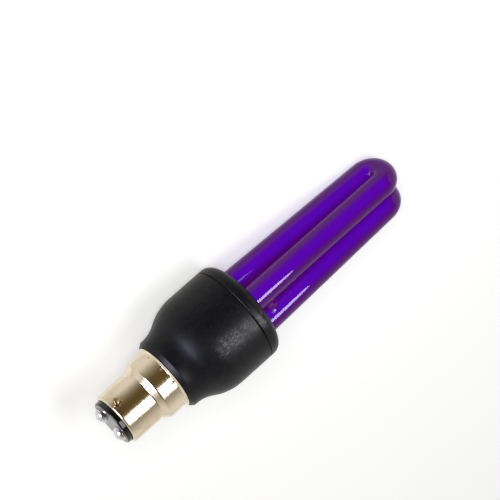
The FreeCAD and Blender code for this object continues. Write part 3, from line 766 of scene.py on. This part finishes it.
    def contact(self, place: LampFrame, name: str, turn: float) -> Piece:
        """Solder bead: a dome over a disc, with an uneven edge and a few soft hollows.

        At share q of the radius and angle p the dome is sqrt(1 - q^2) of the full height, times
        1 + lump sin(4 q cos p + turn) cos(3 q sin p). With e and f the edge's two shares, the radius is the
        bead's own times 1 + e cos(3 p) + f cos(5 p + 1).

        Args:
            place: where the lamp lies.
            name: the piece's name.
            turn: the contact's turn about the lamp's axis, in degrees.

        Returns:
            The bead.
        """
        around, outward = self.contact_parts
        angle = full_turn(around)[:, None]
        share = np.sin(np.linspace(0, math.pi / 2, outward))[None, :]
        wide, narrow = self.contact_edge
        edge = self.contact_radius * (1 + wide * np.cos(3 * angle) + narrow * np.cos(5 * angle + 1))
        lumps = np.sin(4 * share * np.cos(angle) + turn) * np.cos(3 * share * np.sin(angle))
        dome = np.sqrt(np.clip(1 - share ** 2, 0, None)) * (1 + self.contact_lump * lumps)
        middle = polar(self.contact_offset, math.radians(turn), 0.0)
        skins = [middle + polar(edge * share, angle, self.contact_foot - rise)
                 for rise in (self.contact_height * dome, np.zeros_like(dome))]
        return place.piece(name, [Patch(skin, round_rows=True) for skin in skins], sharp=60.0)

    def insulator(self, place: LampFrame) -> Piece:
        """Pressed insulator: the outline of a round-edged plug carried round the axis.

        Args:
            place: where the lamp lies.

        Returns:
            The insulator.
        """
        outline = rounded_outline([
            (0, self.insulator_top, 0),
            (self.insulator_radius, self.insulator_top, self.insulator_round),
            (self.insulator_radius, self.contact_foot, self.insulator_round),
            (0, self.contact_foot, 0),
        ], step=0.5, closed=False)
        grid = revolved(outline, full_turn(self.insulator_parts))
        return place.piece("pressed_insulator", [Patch(grid, round_rows=True)])

    def build(self, place: LampFrame) -> list[Piece]:
        """Builds and dresses the cap.

        Args:
            place: where the lamp lies.

        Returns:
            The cap's pieces.
        """
        low_turn, high_turn = self.contact_turns
        shell = self.shell(place)
        front = self.pin(place, "front_pin", self.pin_turn)
        rear = self.pin(place, "rear_pin", self.pin_turn + 180)
        insulator = self.insulator(place)
        low = self.contact(place, "solder_bead_1", low_turn)
        high = self.contact(place, "solder_bead_2", high_turn)
        return [
            dress(shell, "cap_shell", self.metal),
            dress(front, "bayonet_pin_front", self.pin_metal),
            dress(rear, "bayonet_pin_back", self.pin_metal),
            dress(insulator, "cap_insulator", self.plug),
            dress(low, "solder_contact_1", self.tin),
            dress(high, "solder_contact_2", self.tin),
        ]


@dataclass(frozen=True)
class LegLines:
    """Centre lines of the four glass legs, which close in evenly from the cover to the bends."""

    cover_top: float = 66.9
    foot_radius: float = 9.68736
    slope: float = 0.029874

    def point(self, leg: Leg, height: float) -> Array:
        """Point on a leg's centre line at a height up the lamp."""
        radius = self.foot_radius - self.slope * (height - self.cover_top)
        return polar(radius, math.radians(leg.value), height)


@dataclass
class BallastHousing:
    """Black housing: the shell with the S-shaped shoulder, and the cover that holds the glass."""

    wall: float = 1.6
    body_radius: float = 21.05
    spigot_start: float = 18.1
    spigot_radius: float = 12.65
    spigot_bore: float = 11.15
    collar_start: float = 25.0
    collar_foot_radius: float = 14.3
    collar_foot_round: float = 0.2
    collar_radius: float = 15.6
    collar_end: float = 26.7
    collar_round: float = 0.15
    shoulder_low: float = 31.2
    shoulder_high: float = 40.2
    low_share: float = 0.4
    high_share: float = 0.56
    seam: float = 60.8
    seam_bevel: float = 0.25
    seam_round: float = 0.1
    seam_gap: float = 0.25
    cover_round: float = 4.2
    ceiling: float = 65.3
    plug_radius: float = 19.35
    plug_bore: float = 18.05
    plug_end: float = 53.7
    hole_radius: float = 5.5
    hole_round: float = 0.3
    shell_parts: int = 240
    arc_parts: int = 60
    edge_parts: int = 26
    plate_rows: int = 10
    hole_rows: int = 6
    legs: LegLines = LegLines()
    crimps: CrimpRing = CrimpRing()
    plastic: Finish = BlackMoulding()

    def shell(self, place: LampFrame) -> Piece:
        """Lower shell: its closed outline, inside and outside, carried round the axis.

        Args:
            place: where the lamp lies.

        Returns:
            The shell.
        """
        rise = self.body_radius - self.collar_radius
        length = self.shoulder_high - self.shoulder_low
        bend = math.tan(math.atan2(rise, length) / 2)
        slant = math.hypot(rise, length)
        low_round = self.low_share * slant / bend
        high_round = self.high_share * slant / bend
        shift = self.wall * bend
        bore = self.body_radius - self.wall
        neck_bore = self.collar_radius - self.wall
        outline = rounded_outline([
            (self.spigot_bore, self.spigot_start, 0),
            (self.spigot_radius, self.spigot_start, 0),
            (self.spigot_radius, self.collar_start, 0),
            (self.collar_foot_radius, self.collar_start, self.collar_foot_round),
            (self.collar_radius, self.collar_end, self.collar_round),
            (self.collar_radius, self.shoulder_low, low_round),
            (self.body_radius, self.shoulder_high, high_round),
            (self.body_radius, self.seam - self.seam_bevel, self.seam_round),
            (self.body_radius - self.seam_bevel, self.seam, 0),
            (bore, self.seam, 0),
            (bore, self.shoulder_high + shift, high_round - self.wall),
            (neck_bore, self.shoulder_low + shift, 0),
            (neck_bore, self.collar_end, 0),
            (self.spigot_bore, self.collar_end, 0),
        ], step=0.5)
        grid = self.crimps.press(revolved(outline, full_turn(self.shell_parts)))
        return place.piece("ballast_housing", [Patch(grid, round_rows=True, round_columns=True)])

    def plate(self, leg: Leg, radius: float, height: float, hole: float) -> Array:
        """Quarter of a flat plate round one leg's hole.

        Points go once round the quarter: along its arc, in along one straight side and out along the other.
        Each is joined to the point of the hole that lies towards it.

        Args:
            leg: the leg in the hole.
            radius: radius of the quarter's arc.
            height: height of the plate up the lamp.
            hole: radius of the hole.

        Returns:
            Grid from the hole's edge, its first row, out to the quarter's.
        """
        middle = math.radians(leg.value)
        turns = middle + np.linspace(-math.pi / 4, math.pi / 4, self.arc_parts + 1)
        arc = polar(radius, turns, height)
        reach = np.linspace(radius, 0, self.edge_parts + 1)
        inward = polar(reach[1:], turns[-1], height)
        outward = polar(reach[::-1][1:-1], turns[0], height)
        rim = np.concatenate([arc, inward, outward])
        centre = self.legs.point(leg, height)
        edge = centre + hole * unit(rim - centre)
        share = np.linspace(0, 1, self.plate_rows)[:, None, None]
        return edge + (rim - edge) * share

    def hole_wall(self, top: Array, low: Array, centre: Array) -> Array:
        """Wall of a leg's hole: a rounded edge under the plate's opening, then straight to the ceiling.

        At angle a of the rounding the wall stands in by round * sin a and lower by round * (1 - cos a).

        Args:
            top: the opening's edge in the plate.
            low: the opening's edge in the ceiling.
            centre: the opening's middle in the plate.

        Returns:
            Grid from the plate's opening down to the ceiling's.
        """
        angle = np.linspace(0, math.pi / 2, self.hole_rows)[:, None, None]
        inward = unit(centre - top)[None]
        down = np.array([0.0, 0.0, -1.0])
        rounding = top[None] + self.hole_round * (np.sin(angle) * inward + (1 - np.cos(angle)) * down)
        return np.concatenate([rounding, low[None]])

    def cover(self, place: LampFrame) -> Piece:
        """Cover: four plates round the legs' holes, the same in the ceiling, and the skirt between them.

        Args:
            place: where the lamp lies.

        Returns:
            The cover.
        """
        top = self.legs.cover_top
        flat = self.body_radius - self.cover_round
        low = self.seam + self.seam_gap
        outline = rounded_outline([
            (flat, top, 0),
            (self.body_radius, top, self.cover_round),
            (self.body_radius, low + self.seam_bevel, self.seam_round),
            (self.body_radius - self.seam_bevel, low, 0),
            (self.plug_radius, low, 0),
            (self.plug_radius, self.plug_end, 0),
            (self.plug_bore, self.plug_end, 0),
            (self.plug_bore, self.ceiling, 0),
        ], step=0.5, closed=False)
        turns = full_turn(4 * self.arc_parts, -math.pi / 4)
        patches = [Patch(revolved(outline, turns), round_rows=True)]
        for leg in Leg:
            plate = self.plate(leg, flat, top, self.hole_radius + self.hole_round)
            inside = self.plate(leg, self.plug_bore, self.ceiling, self.hole_radius)
            wall = self.hole_wall(plate[0], inside[0], self.legs.point(leg, top))
            patches += [Patch(grid, round_columns=True) for grid in (plate, inside, wall)]
        return place.piece("leg_cover", patches)

    def build(self, place: LampFrame) -> list[Piece]:
        """Builds and dresses the housing.

        Args:
            place: where the lamp lies.

        Returns:
            The housing's pieces.
        """
        return [
            dress(self.shell(place), "lower_housing", self.plastic),
            dress(self.cover(place), "upper_cover", self.plastic),
        ]


@dataclass(frozen=True)
class UBend:
    """One bent tube's centre line: two leaning legs and the half turn tangent to both.

    Attributes:
        feet: the two feet.
        tops: where the legs run into the half turn.
        legs: directions of the two legs, upwards.
        centre: middle of the half turn.
        radius: radius of the half turn.
        across: direction from the second leg to the first.
        along: direction from the feet to the half turn.
        beside: normal of the tube's plane, towards the other tube.
    """

    feet: tuple[Array, Array]
    tops: tuple[Array, Array]
    legs: tuple[Array, Array]
    centre: Array
    radius: float
    across: Array
    along: Array
    beside: Array

    @classmethod
    def between(cls, lines: LegLines, first: Leg, second: Leg, crown: float, foot: float) -> "UBend":
        """Bend between two legs whose outermost centre line lies a crown above the cover.

        With u the sine and c the cosine of a leg's lean, h half the feet's distance and d the distance from
        the feet to the crown, the half turn's radius is (h c - u d) / (1 - u).

        Args:
            lines: the legs' centre lines.
            first: the leg that carries the bridge.
            second: the other leg.
            crown: height of the bend's centre line over the cover.
            foot: height of the feet up the lamp.

        Returns:
            The bend.
        """
        start = lines.point(first, foot)
        end = lines.point(second, foot)
        leg = unit(lines.point(first, lines.cover_top) - start)
        other = unit(lines.point(second, lines.cover_top) - end)
        across = unit(start - end)
        along = unit(leg + other)
        sine = -float(leg @ across)
        cosine = float(leg @ along)
        reach = (lines.cover_top + crown - foot) / along[2]
        half = float(np.linalg.norm(start - end)) / 2
        radius = (half * cosine - sine * reach) / (1 - sine)
        centre = (start + end) / 2 + along * (reach - radius)
        side = across * radius * cosine
        lift = along * radius * sine
        beside = np.cross(across, along)
        beside = -beside * np.sign(beside @ start)
        tops = (centre + side + lift, centre - side + lift)
        return cls((start, end), tops, (leg, other), centre, radius, across, along, beside)


@dataclass
class DischargeTube:
    """Violet glass: two bent tubes side by side and the bridge that joins them."""

    tube_radius: float = 5.25
    foot_height: float = 61.5
    front_crown: float = 75.2
    back_crown: float = 73.3
    bridge_height: float = 6.2
    bridge_radius: float = 2.9
    bridge_foot: float = 4.1
    bridge_lead: float = 0.98
    bridge_pull: float = 0.6
    pinch_width: float = 7.0
    pinch_thickness: float = 2.4
    pinch_drop: float = 1.2
    pinch_bevel: float = 0.1
    pinch_inset: float = 0.96
    around: int = 96
    window_turn: float = 60.0
    window_half: float = 5.0
    window_parts: int = 16
    foot_rows: int = 14
    pinch_rows: int = 5
    crown_rows: int = 49
    below_rows: int = 6
    above_rows: int = 46
    second_rows: int = 56
    skin_rows: int = 6
    neck_rows: int = 16
    legs: LegLines = LegLines()
    glass: Finish = VioletGlass()

    def ring_turns(self) -> Array:
        """Turns round a tube's section, from one side of the bridge's window."""
        return full_turn(self.around, -math.radians(self.window_turn))

    def window_columns(self) -> int:
        """Number of ring parts across the bridge's window."""
        return round(self.around * 2 * self.window_turn / 360)

    def bridge_distance(self) -> float:
        """Distance up the leg from its foot to the bridge's middle."""
        rise = self.legs.cover_top + self.bridge_height - self.foot_height
        return rise * math.hypot(1.0, self.legs.slope)

    def straight(self, bend: UBend, which: int, distances: Array, radii: Array) -> Array:
        """Rings along a straight leg.

        Ring i has its middle at distance i up the leg, and its point at turn p lies at the ring's radius
        along cos p * bridge side + sin p * outward side.

        Args:
            bend: the tube's centre line.
            which: 0 for the first leg, 1 for the second.
            distances: distances from the leg's foot, upwards.
            radii: radius of each ring, or of each point of each ring.

        Returns:
            Grid of rings.
        """
        leg = bend.legs[which]
        away = (bend.across, -bend.across)[which]
        outward = unit(away - (away @ leg) * leg)
        turns = self.ring_turns()[None, :, None]
        spoke = np.cos(turns) * bend.beside + np.sin(turns) * outward
        middle = bend.feet[which] + distances[:, None, None] * leg
        return middle + np.broadcast_to(radii, (len(distances), self.around))[..., None] * spoke

    def foot_rings(self, bend: UBend, which: int, leg: Leg, pinched: bool) -> Array:
        """Closed foot of a leg: a half ball, drawn out to a flat seal where it is pinched.

        The radius at depth d is sqrt(R^2 - d^2), and on a pinched foot at least the distance to the side of
        the seal's rectangle: min(half thickness / |radial|, half width / |sideways|).

        Args:
            bend: the tube's centre line.
            which: 0 for the first leg, 1 for the second.
            leg: the leg's own turn.
            pinched: whether the foot ends in a seal.

        Returns:
            Grid of rings from the pole up to the foot's widest ring.
        """
        depth = self.tube_radius * np.cos(np.linspace(0, math.pi / 2, self.foot_rows))
        ball = np.sqrt(np.clip(self.tube_radius ** 2 - depth ** 2, 0, None))
        if not pinched:
            return self.straight(bend, which, -depth, ball[:, None])
        spokes = self.straight(bend, which, np.zeros(1), np.ones((1, 1)))[0] - bend.feet[which]
        turn = math.radians(leg.value)
        radial = np.abs(spokes @ polar(1.0, turn, 0.0))
        sideways = np.abs(spokes @ polar(1.0, turn + math.pi / 2, 0.0))
        seal = np.minimum(self.pinch_thickness / 2 / np.maximum(radial, TINY),
                          self.pinch_width / 2 / np.maximum(sideways, TINY))
        end = self.tube_radius + self.pinch_drop
        edge = end - self.pinch_bevel
        drawn = np.linspace(edge, depth[1], self.pinch_rows)
        deep = np.concatenate([[end, end], drawn, depth[2:]])
        round_part = np.sqrt(np.clip(self.tube_radius ** 2 - deep ** 2, 0, None))
        radii = np.maximum(round_part[:, None], seal[None, :])
        radii[0] = 0.0
        radii[1] *= self.pinch_inset
        return self.straight(bend, which, -deep, radii)

    def crown_rings(self, bend: UBend) -> Array:
        """Rings round the half turn, from the first leg to the second.

        The ring at angle a has its middle at radius * (cos a * across + sin a * along) from the centre.

        Args:
            bend: the tube's centre line.

        Returns:
            Grid of rings.
        """
        lean = math.asin(float(-bend.legs[0] @ bend.across))
        angle = np.linspace(lean, math.pi - lean, self.crown_rows)[:, None, None]
        outward = np.cos(angle) * bend.across + np.sin(angle) * bend.along
        turns = self.ring_turns()[None, :, None]
        spoke = np.cos(turns) * bend.beside + np.sin(turns) * outward
        return bend.centre + bend.radius * outward + self.tube_radius * spoke

    def bent_tube(self, bend: UBend, first: Leg, second: Leg) -> list[Patch]:
        """One bent tube with a window for the bridge in its first leg.

        Args:
            bend: the tube's centre line.
            first: the leg with the bridge.
            second: the leg with the seal.

        Returns:
            Patches of the tube: below, beside and above the window.
        """
        lengths = [float(np.linalg.norm(top - foot)) for top, foot in zip(bend.tops, bend.feet)]
        middle = self.bridge_distance()
        low, high = middle - self.window_half, middle + self.window_half
        full = np.full((1, 1), self.tube_radius)
        below = self.straight(bend, 0, np.linspace(0, low, self.below_rows), full)
        window = self.straight(bend, 0, np.linspace(low, high, self.window_parts + 1), full)
        above = self.straight(bend, 0, np.linspace(high, lengths[0], self.above_rows), full)
        down = self.straight(bend, 1, np.linspace(lengths[1], 0, self.second_rows), full)
        foot = self.foot_rings(bend, 0, first, False)
        seal = self.foot_rings(bend, 1, second, True)[::-1]
        run = np.concatenate([above, self.crown_rings(bend)[1:-1], down, seal[1:]])
        closed = np.r_[self.window_columns():self.around, 0]
        return [
            Patch(np.concatenate([foot, below[1:]]), round_columns=True),
            Patch(window[:, closed]),
            Patch(run, round_columns=True),
        ]

    def half_bridge(self, bend: UBend, middle: Array) -> Patch:
        """Half of the bridge, from the window in a leg to the waist in the middle.

        Round the window each edge point has the angle p of its place (across, up). The skin runs over the
        leg to the foot circle at p, then along the cubic with ends there and on the waist circle, leaving
        the leg along its skin and reaching the waist along the bridge.

        Args:
            bend: the leg's tube.
            middle: middle of the bridge's waist.

        Returns:
            The half bridge's skin.
        """
        turn = math.radians(self.window_turn)
        columns = np.linspace(-turn, turn, self.window_columns() + 1)
        rows = np.linspace(-self.window_half, self.window_half, self.window_parts + 1)
        sides = np.full(self.window_parts - 1, turn)
        ends = np.full(len(columns), self.window_half)
        swing = np.concatenate([columns, sides, columns[::-1], -sides])
        height = np.concatenate([-ends, rows[1:-1], ends, rows[1:-1][::-1]])
        angle = np.arctan2(height, self.tube_radius * np.sin(swing))
        foot_swing = np.arcsin(self.bridge_foot * np.cos(angle) / self.tube_radius)
        foot_height = self.bridge_foot * np.sin(angle)
        leg = bend.legs[0]
        outward = unit(bend.across - (bend.across @ leg) * leg)
        centre = bend.feet[0] + self.bridge_distance() * leg

        def on_leg(turns: Array, heights: Array) -> Array:
            """Points on the leg's skin at turns from the bridge and heights from its middle."""
            spoke = np.cos(turns)[..., None] * bend.beside + np.sin(turns)[..., None] * outward
            return centre + self.tube_radius * spoke + heights[..., None] * leg

        share = np.linspace(0, 1, self.skin_rows)[:, None]
        skin = on_leg(swing + (foot_swing - swing) * share, height + (foot_height - height) * share)
        start = skin[-1]
        near = on_leg(foot_swing * self.bridge_lead, foot_height * self.bridge_lead)
        axis = unit(middle - centre)
        up = np.array([0.0, 0.0, 1.0])
        waist = np.cos(angle)[:, None] * unit(bend.across) + np.sin(angle)[:, None] * up
        end = middle + self.bridge_radius * waist
        leave = start + unit(near - start) * self.bridge_pull * (self.bridge_foot - self.bridge_radius)
        arrive = end - self.bridge_pull * np.abs((end - start) @ axis)[:, None] * axis
        t = np.linspace(0, 1, self.neck_rows)[1:, None, None]
        s = 1 - t
        neck = s ** 3 * start + 3 * s ** 2 * t * leave + 3 * s * t ** 2 * arrive + t ** 3 * end
        return Patch(np.concatenate([skin, neck]), round_columns=True)

    def build(self, place: LampFrame) -> list[Piece]:
        """Builds and dresses the glass.

        Args:
            place: where the lamp lies.

        Returns:
            The glass, as the one piece of a list.
        """
        front = UBend.between(self.legs, Leg.FRONT, Leg.LEFT, self.front_crown, self.foot_height)
        back = UBend.between(self.legs, Leg.RIGHT, Leg.BACK, self.back_crown, self.foot_height)
        height = self.legs.cover_top + self.bridge_height
        middle = (self.legs.point(Leg.FRONT, height) + self.legs.point(Leg.RIGHT, height)) / 2
        patches = self.bent_tube(front, Leg.FRONT, Leg.LEFT) + self.bent_tube(back, Leg.RIGHT, Leg.BACK)
        patches += [self.half_bridge(front, middle), self.half_bridge(back, middle)]
        tubes = place.piece("violet_glass_tubes", patches, sharp=50.0)
        return [dress(tubes, "discharge_tube", self.glass)]


@dataclass(frozen=True)
class Ballast:
    """The pieces that keep their solids, by finish: eyelets, leads and the ballast on its board."""

    finishes: tuple[tuple[Finish, tuple[str, ...]], ...] = (
        # Stamped brass: warm yellow metal, slightly dulled.
        (MottledFinish("stamped_brass", "#a8873a", "#c9a95a", 1.2, (0.25, 0.42), 0.01, metallic=1.0),
         ("contact_eyelet_1", "contact_eyelet_2")),
        # Gypsum cement: chalky cream with coarse grit.
        (MottledFinish("gypsum_cement", "#cfc7b4", "#e6dfcf", 0.8, (0.85, 0.97), 0.12),
         ("tube_cement",)),
        # Paper laminate: tan board with a fibrous tone.
        (MottledFinish("phenolic_paper_laminate", "#8a6232", "#a97f47", 2.2, (0.45, 0.6), 0.02),
         ("circuit_board",)),
        # Sintered ferrite: charcoal ceramic, finely pitted.
        (MottledFinish("sintered_ferrite", "#232326", "#38383c", 0.5, (0.6, 0.8), 0.03),
         ("choke_core", "toroid_core", "filter_core")),
        # Enamelled copper: amber lacquer over red metal.
        (MottledFinish("enamelled_copper_wire", "#8c3f16", "#b7662a", 0.9, (0.25, 0.4), 0.05, metallic=1.0),
         ("choke_winding", "toroid_windings", "filter_winding")),
        # Glass-filled nylon: milky white with faint flow marks.
        (MottledFinish("glass_filled_nylon", "#d5d1c4", "#eceae0", 3.0, (0.4, 0.55), 0.01),
         ("choke_bobbin",)),
        # Shrunk film sleeve: navy film, glossy over the can.
        (MottledFinish("shrunk_film_sleeve", "#0f1a3a", "#1a2a58", 4.0, (0.22, 0.35), 0.01),
         ("bulk_capacitor",)),
        # Dipped resin: red-brown drop shape with a thick gloss.
        (MottledFinish("dipped_resin_coat", "#6a1d10", "#8a2c18", 1.8, (0.2, 0.35), 0.05),
         ("resonant_capacitor", "blocking_capacitor", "fusible_resistor")),
        # Moulded epoxy: flat black with a dusty tooth.
        (MottledFinish("moulded_epoxy", "#141414", "#222222", 0.4, (0.5, 0.7), 0.02),
         ("transistor_1", "transistor_2", "rectifier_diodes", "trigger_diode")),
        # Vinyl lead sleeve: soft white skin.
        (MottledFinish("soft_vinyl_sleeve", "#cfcfd0", "#e6e6e4", 2.0, (0.4, 0.55), 0.01),
         ("supply_lead_1", "supply_lead_2")),
        # Tinned wire: pale dull silver.
        (MottledFinish("tinned_copper_wire", "#aeb0b3", "#cdced0", 0.8, (0.25, 0.4), 0.01, metallic=1.0),
         ("electrode_leads_1", "electrode_leads_2")),
    )

    def dress_nodes(self, nodes: dict[str, Piece]) -> list[Piece]:
        """Puts each finish on its nodes.

        Args:
            nodes: the frame's solids by name.

        Returns:
            The dressed solids.
        """
        dressed = []
        for finish, names in self.finishes:
            for name in names:
                for slot in nodes[name].material_slots:
                    slot.material = finish.material()
                dressed.append(nodes[name])
        return dressed


def aimed(name: str, data: bpy.types.ID, side: Array, back: Array, place: Array) -> Piece:
    """Light or camera that faces away from back.

    Args:
        name: the object's name.
        data: its light or camera.
        side: unit direction of its own X.
        back: unit direction of its own Z.
        place: its place, in metres.

    Returns:
        The object, in the scene.
    """
    turn = np.eye(4)
    turn[:3] = np.stack([side, np.cross(back, side), back, place], axis=1)
    made = bpy.data.objects.new(name, data)
    made.matrix_world = Matrix(turn.tolist())
    bpy.context.scene.collection.objects.link(made)
    return made


@dataclass(frozen=True)
class SoftLight:
    """A flat studio light over the table.

    Attributes:
        name: the light's name.
        place: its middle, in metres.
        size: its length along X and its width, in metres.
        power: its power in watts.
        aim: the point it faces, in metres.
        colour: its colour.
        shape: its outline.
        mirrored: whether gloss shows it.
        lighting: whether it lights what it shines on.
    """

    name: str
    place: Triple
    size: Pair
    power: float
    aim: Triple = (0.0, 0.0, 0.02)
    colour: str = "#ffffff"
    shape: LightShape = LightShape.RECTANGLE
    mirrored: bool = True
    lighting: bool = True

    def build(self) -> None:
        """Makes the light, with its length kept along X."""
        data = bpy.data.lights.new(self.name, "AREA")
        data.shape = self.shape.value
        data.size, data.size_y = self.size
        data.energy = self.power
        data.color = linear(self.colour)[:3]
        back = unit(np.array(self.place) - np.array(self.aim))
        side = unit(np.array([1.0, 0.0, 0.0]) - back[0] * back)
        made = aimed(self.name, data, side, back, np.array(self.place))
        made.visible_camera = False
        made.visible_glossy = self.mirrored
        made.visible_diffuse = self.lighting


@dataclass
class Studio:
    """White table, soft lights, a dark room in front and the camera.

    Lengths are metres and angles degrees. The camera's eye and aim are in the lamp's millimetres, up is a
    direction in the lamp's axes, and lens is a focal length in millimetres.
    """

    table_half: float = 3.0
    table_parts: int = 9
    table_colour: str = "#ececea"
    table_lift: float = 0.47
    fill: float = 0.14
    backdrop: float = 0.9
    room_radius: float = 1.1
    room_half: float = 1.6
    room_rise: float = 176.0
    room_near: float = 0.014
    room_gap: float = 0.0005
    room_parts: tuple[int, int, int] = (5, 32, 45)
    room_light: str = "#f2efe9"
    room_dark: str = "#604e26"
    fade_low: float = -26.0
    fade_high: float = 35.0
    fade_back: float = 90.0
    fade_end: float = 150.0
    axis_height: float = 0.027
    lens: float = 156.03
    eye: Triple = (801.33, -23.888, -142.84)
    aim: Triple = (0.0, -14.613, 82.838)
    up: Triple = (0.17024, -0.75318, 0.63541)
    lights: tuple[SoftLight, ...] = (
        SoftLight("overhead_softbox", (0.15, 0.135, 0.62), (0.2, 0.38), 1.25),
        SoftLight("near_glint", (0.057, 0.012, 0.145), (0.034, 0.05), 0.1, (0.006, 0.009, 0.03),
                  shape=LightShape.ELLIPSE, lighting=False),
        SoftLight("front_fill", (-0.16, 0.62, 0.62), (0.3, 0.3), 3.6, mirrored=False),
        SoftLight("window_light", (-0.83, 0.44, 0.35), (0.3, 0.62), 12.8, colour="#dcdeff", lighting=False),
    )

    def stage_mesh(self, name: str, grid: Array, material: bpy.types.Material) -> Piece:
        """Stage surface from a grid of world points.

        Args:
            name: the object's name.
            grid: points in metres.
            material: its material.

        Returns:
            The object, in the scene.
        """
        mesh = bpy.data.meshes.new(name)
        mesh.from_pydata(grid.reshape(-1, 3).tolist(), [], Patch(grid).quads().tolist())
        mesh.materials.append(material)
        made = bpy.data.objects.new(name, mesh)
        bpy.context.scene.collection.objects.link(made)
        return made

    def mirrored_rays(self, tree: Tree) -> Socket:
        """Tells the rays that come off gloss or through glass.

        Args:
            tree: the node tree that asks.

        Returns:
            1 for such a ray, and otherwise 0.
        """
        gloss = add_node(tree, "LightPath", out="Is Glossy Ray")
        through = add_node(tree, "LightPath", out="Is Transmission Ray")
        return add_node(tree, "Math", {0: gloss, 1: through}, operation="MAXIMUM")

    def table(self) -> None:
        """White paper table that shows a little brighter than it is lit and keeps the lamp's shadow."""
        made = bpy.data.materials.new("white_studio_paper")
        made.use_nodes = True
        tree = made.node_tree
        paper = tree.nodes["Principled BSDF"]
        matte = {"Base Color": linear(self.table_colour), "Roughness": 0.9, "Specular IOR Level": 0.1}
        feed(tree, paper, matte)
        seen = {0: add_node(tree, "LightPath", out="Is Camera Ray"), 1: self.mirrored_rays(tree)}
        shown = add_node(tree, "Math", seen, operation="MAXIMUM")
        lift = add_node(tree, "Math", {0: shown, 1: self.table_lift}, operation="MULTIPLY")
        both = {0: paper.outputs[0], 1: add_node(tree, "Emission", {"Strength": lift})}
        feed(tree, tree.nodes["Material Output"], {"Surface": add_node(tree, "AddShader", both)})
        across = np.linspace(-self.table_half, self.table_half, self.table_parts)
        x, y = np.meshgrid(across, across, indexing="ij")
        self.stage_mesh("table", np.stack([x, y, np.zeros_like(x)], axis=-1), made)

    def room(self) -> None:
        """Brown room over the lamp, from the table up: a sheet that only reflections see.

        It runs forward on the table, then at angle e above it stands at radius * (cos e) forward and
        radius * (sin e) up. Its share of the dark colour is (1 - (1 - v)^3) w where, by the angle that the
        lamp sees it at, v goes from 0 at the fade's low to 1 at its high and w from 1 at its back to 0 at
        its end.
        """
        made = bpy.data.materials.new("dark_room_cloth")
        made.use_nodes = True
        tree = made.node_tree
        share = add_node(tree, "Attribute", out="Fac", attribute_name="fade")
        ends = {0: share, 6: linear(self.room_light), 7: linear(self.room_dark)}
        glow = add_node(tree, "Emission", {"Color": add_node(tree, "Mix", ends, 2, data_type="RGBA")})
        feed(tree, tree.nodes["Material Output"], {"Surface": glow})
        wide, near, high = self.room_parts
        angle = np.radians(np.linspace(0, self.room_rise, high))[1:]
        floor = np.geomspace(self.room_near, self.room_radius, near)
        forward = np.concatenate([floor, self.room_radius * np.cos(angle)])
        up = np.concatenate([np.full_like(floor, self.room_gap), self.room_radius * np.sin(angle)])
        seen = np.degrees(np.arctan2(up - self.axis_height, forward))
        rise = np.clip((seen - self.fade_low) / (self.fade_high - self.fade_low), 0, 1)
        fall = np.clip((self.fade_end - seen) / (self.fade_end - self.fade_back), 0, 1)
        fade = (1 - (1 - rise) ** 3) * fall
        x = np.linspace(-self.room_half, self.room_half, wide)
        parts = np.broadcast_arrays(x[None, :], forward[:, None], up[:, None])
        screen = self.stage_mesh("dark_room", np.stack(parts, axis=-1), made)
        kept = screen.data.attributes.new("fade", "FLOAT", "POINT")
        kept.data.foreach_set("value", np.repeat(fade, wide).astype(np.float32))
        screen.visible_camera = False
        screen.visible_diffuse = False
        screen.visible_shadow = False

    def world(self) -> None:
        """White surroundings for the camera and for reflections, and an even fill for the rest."""
        world = bpy.data.worlds.new("white_studio")
        bpy.context.scene.world = world
        world.use_nodes = True
        tree = world.node_tree
        even, bright, white = [
            add_node(tree, "Background", {"Color": linear("#ffffff"), "Strength": strength})
            for strength in (self.fill, self.backdrop, 1.0)]
        lit = add_node(tree, "MixShader", {0: self.mirrored_rays(tree), 1: even, 2: bright})
        seen = add_node(tree, "LightPath", out="Is Camera Ray")
        shown = add_node(tree, "MixShader", {0: seen, 1: lit, 2: white})
        feed(tree, tree.nodes["World Output"], {"Surface": shown})

    def camera(self, place: LampFrame) -> None:
        """Camera that sees the lamp's front leg foremost, with its tip to the upper right.

        Args:
            place: where the lamp lies.
        """
        data = bpy.data.cameras.new("camera")
        data.lens = self.lens
        eye = place.place(np.array(self.eye))
        forward = unit(place.place(np.array(self.aim)) - eye)
        right = unit(np.cross(forward, place.direction(np.array(self.up))))
        bpy.context.scene.camera = aimed("camera", data, right, -forward, eye)

    def build(self, place: LampFrame) -> None:
        """Sets the stage, the lights and the camera.

        Args:
            place: where the lamp lies.
        """
        self.table()
        self.room()
        self.world()
        for light in self.lights:
            light.build()
        self.camera(place)
        bpy.context.scene.view_settings.view_transform = "Standard"


def main() -> None:
    """Builds the lamp's pieces in order, dresses them and sets the stage."""
    logging.basicConfig(level=logging.INFO, format="%(name)s: %(message)s")
    cap = BayonetCap()
    place = LampFrame.from_record(frame["record"], cap.pin_turn)
    for part in (cap, BallastHousing(), DischargeTube()):
        for piece in part.build(place):
            log.info("%s: %d faces", piece.name, len(piece.data.polygons))
    for solid in Ballast().dress_nodes(frame["nodes"]):
        log.info("%s: dressed solid", solid.name)
    Studio().build(place)


if __name__ == "__main__":
    main()
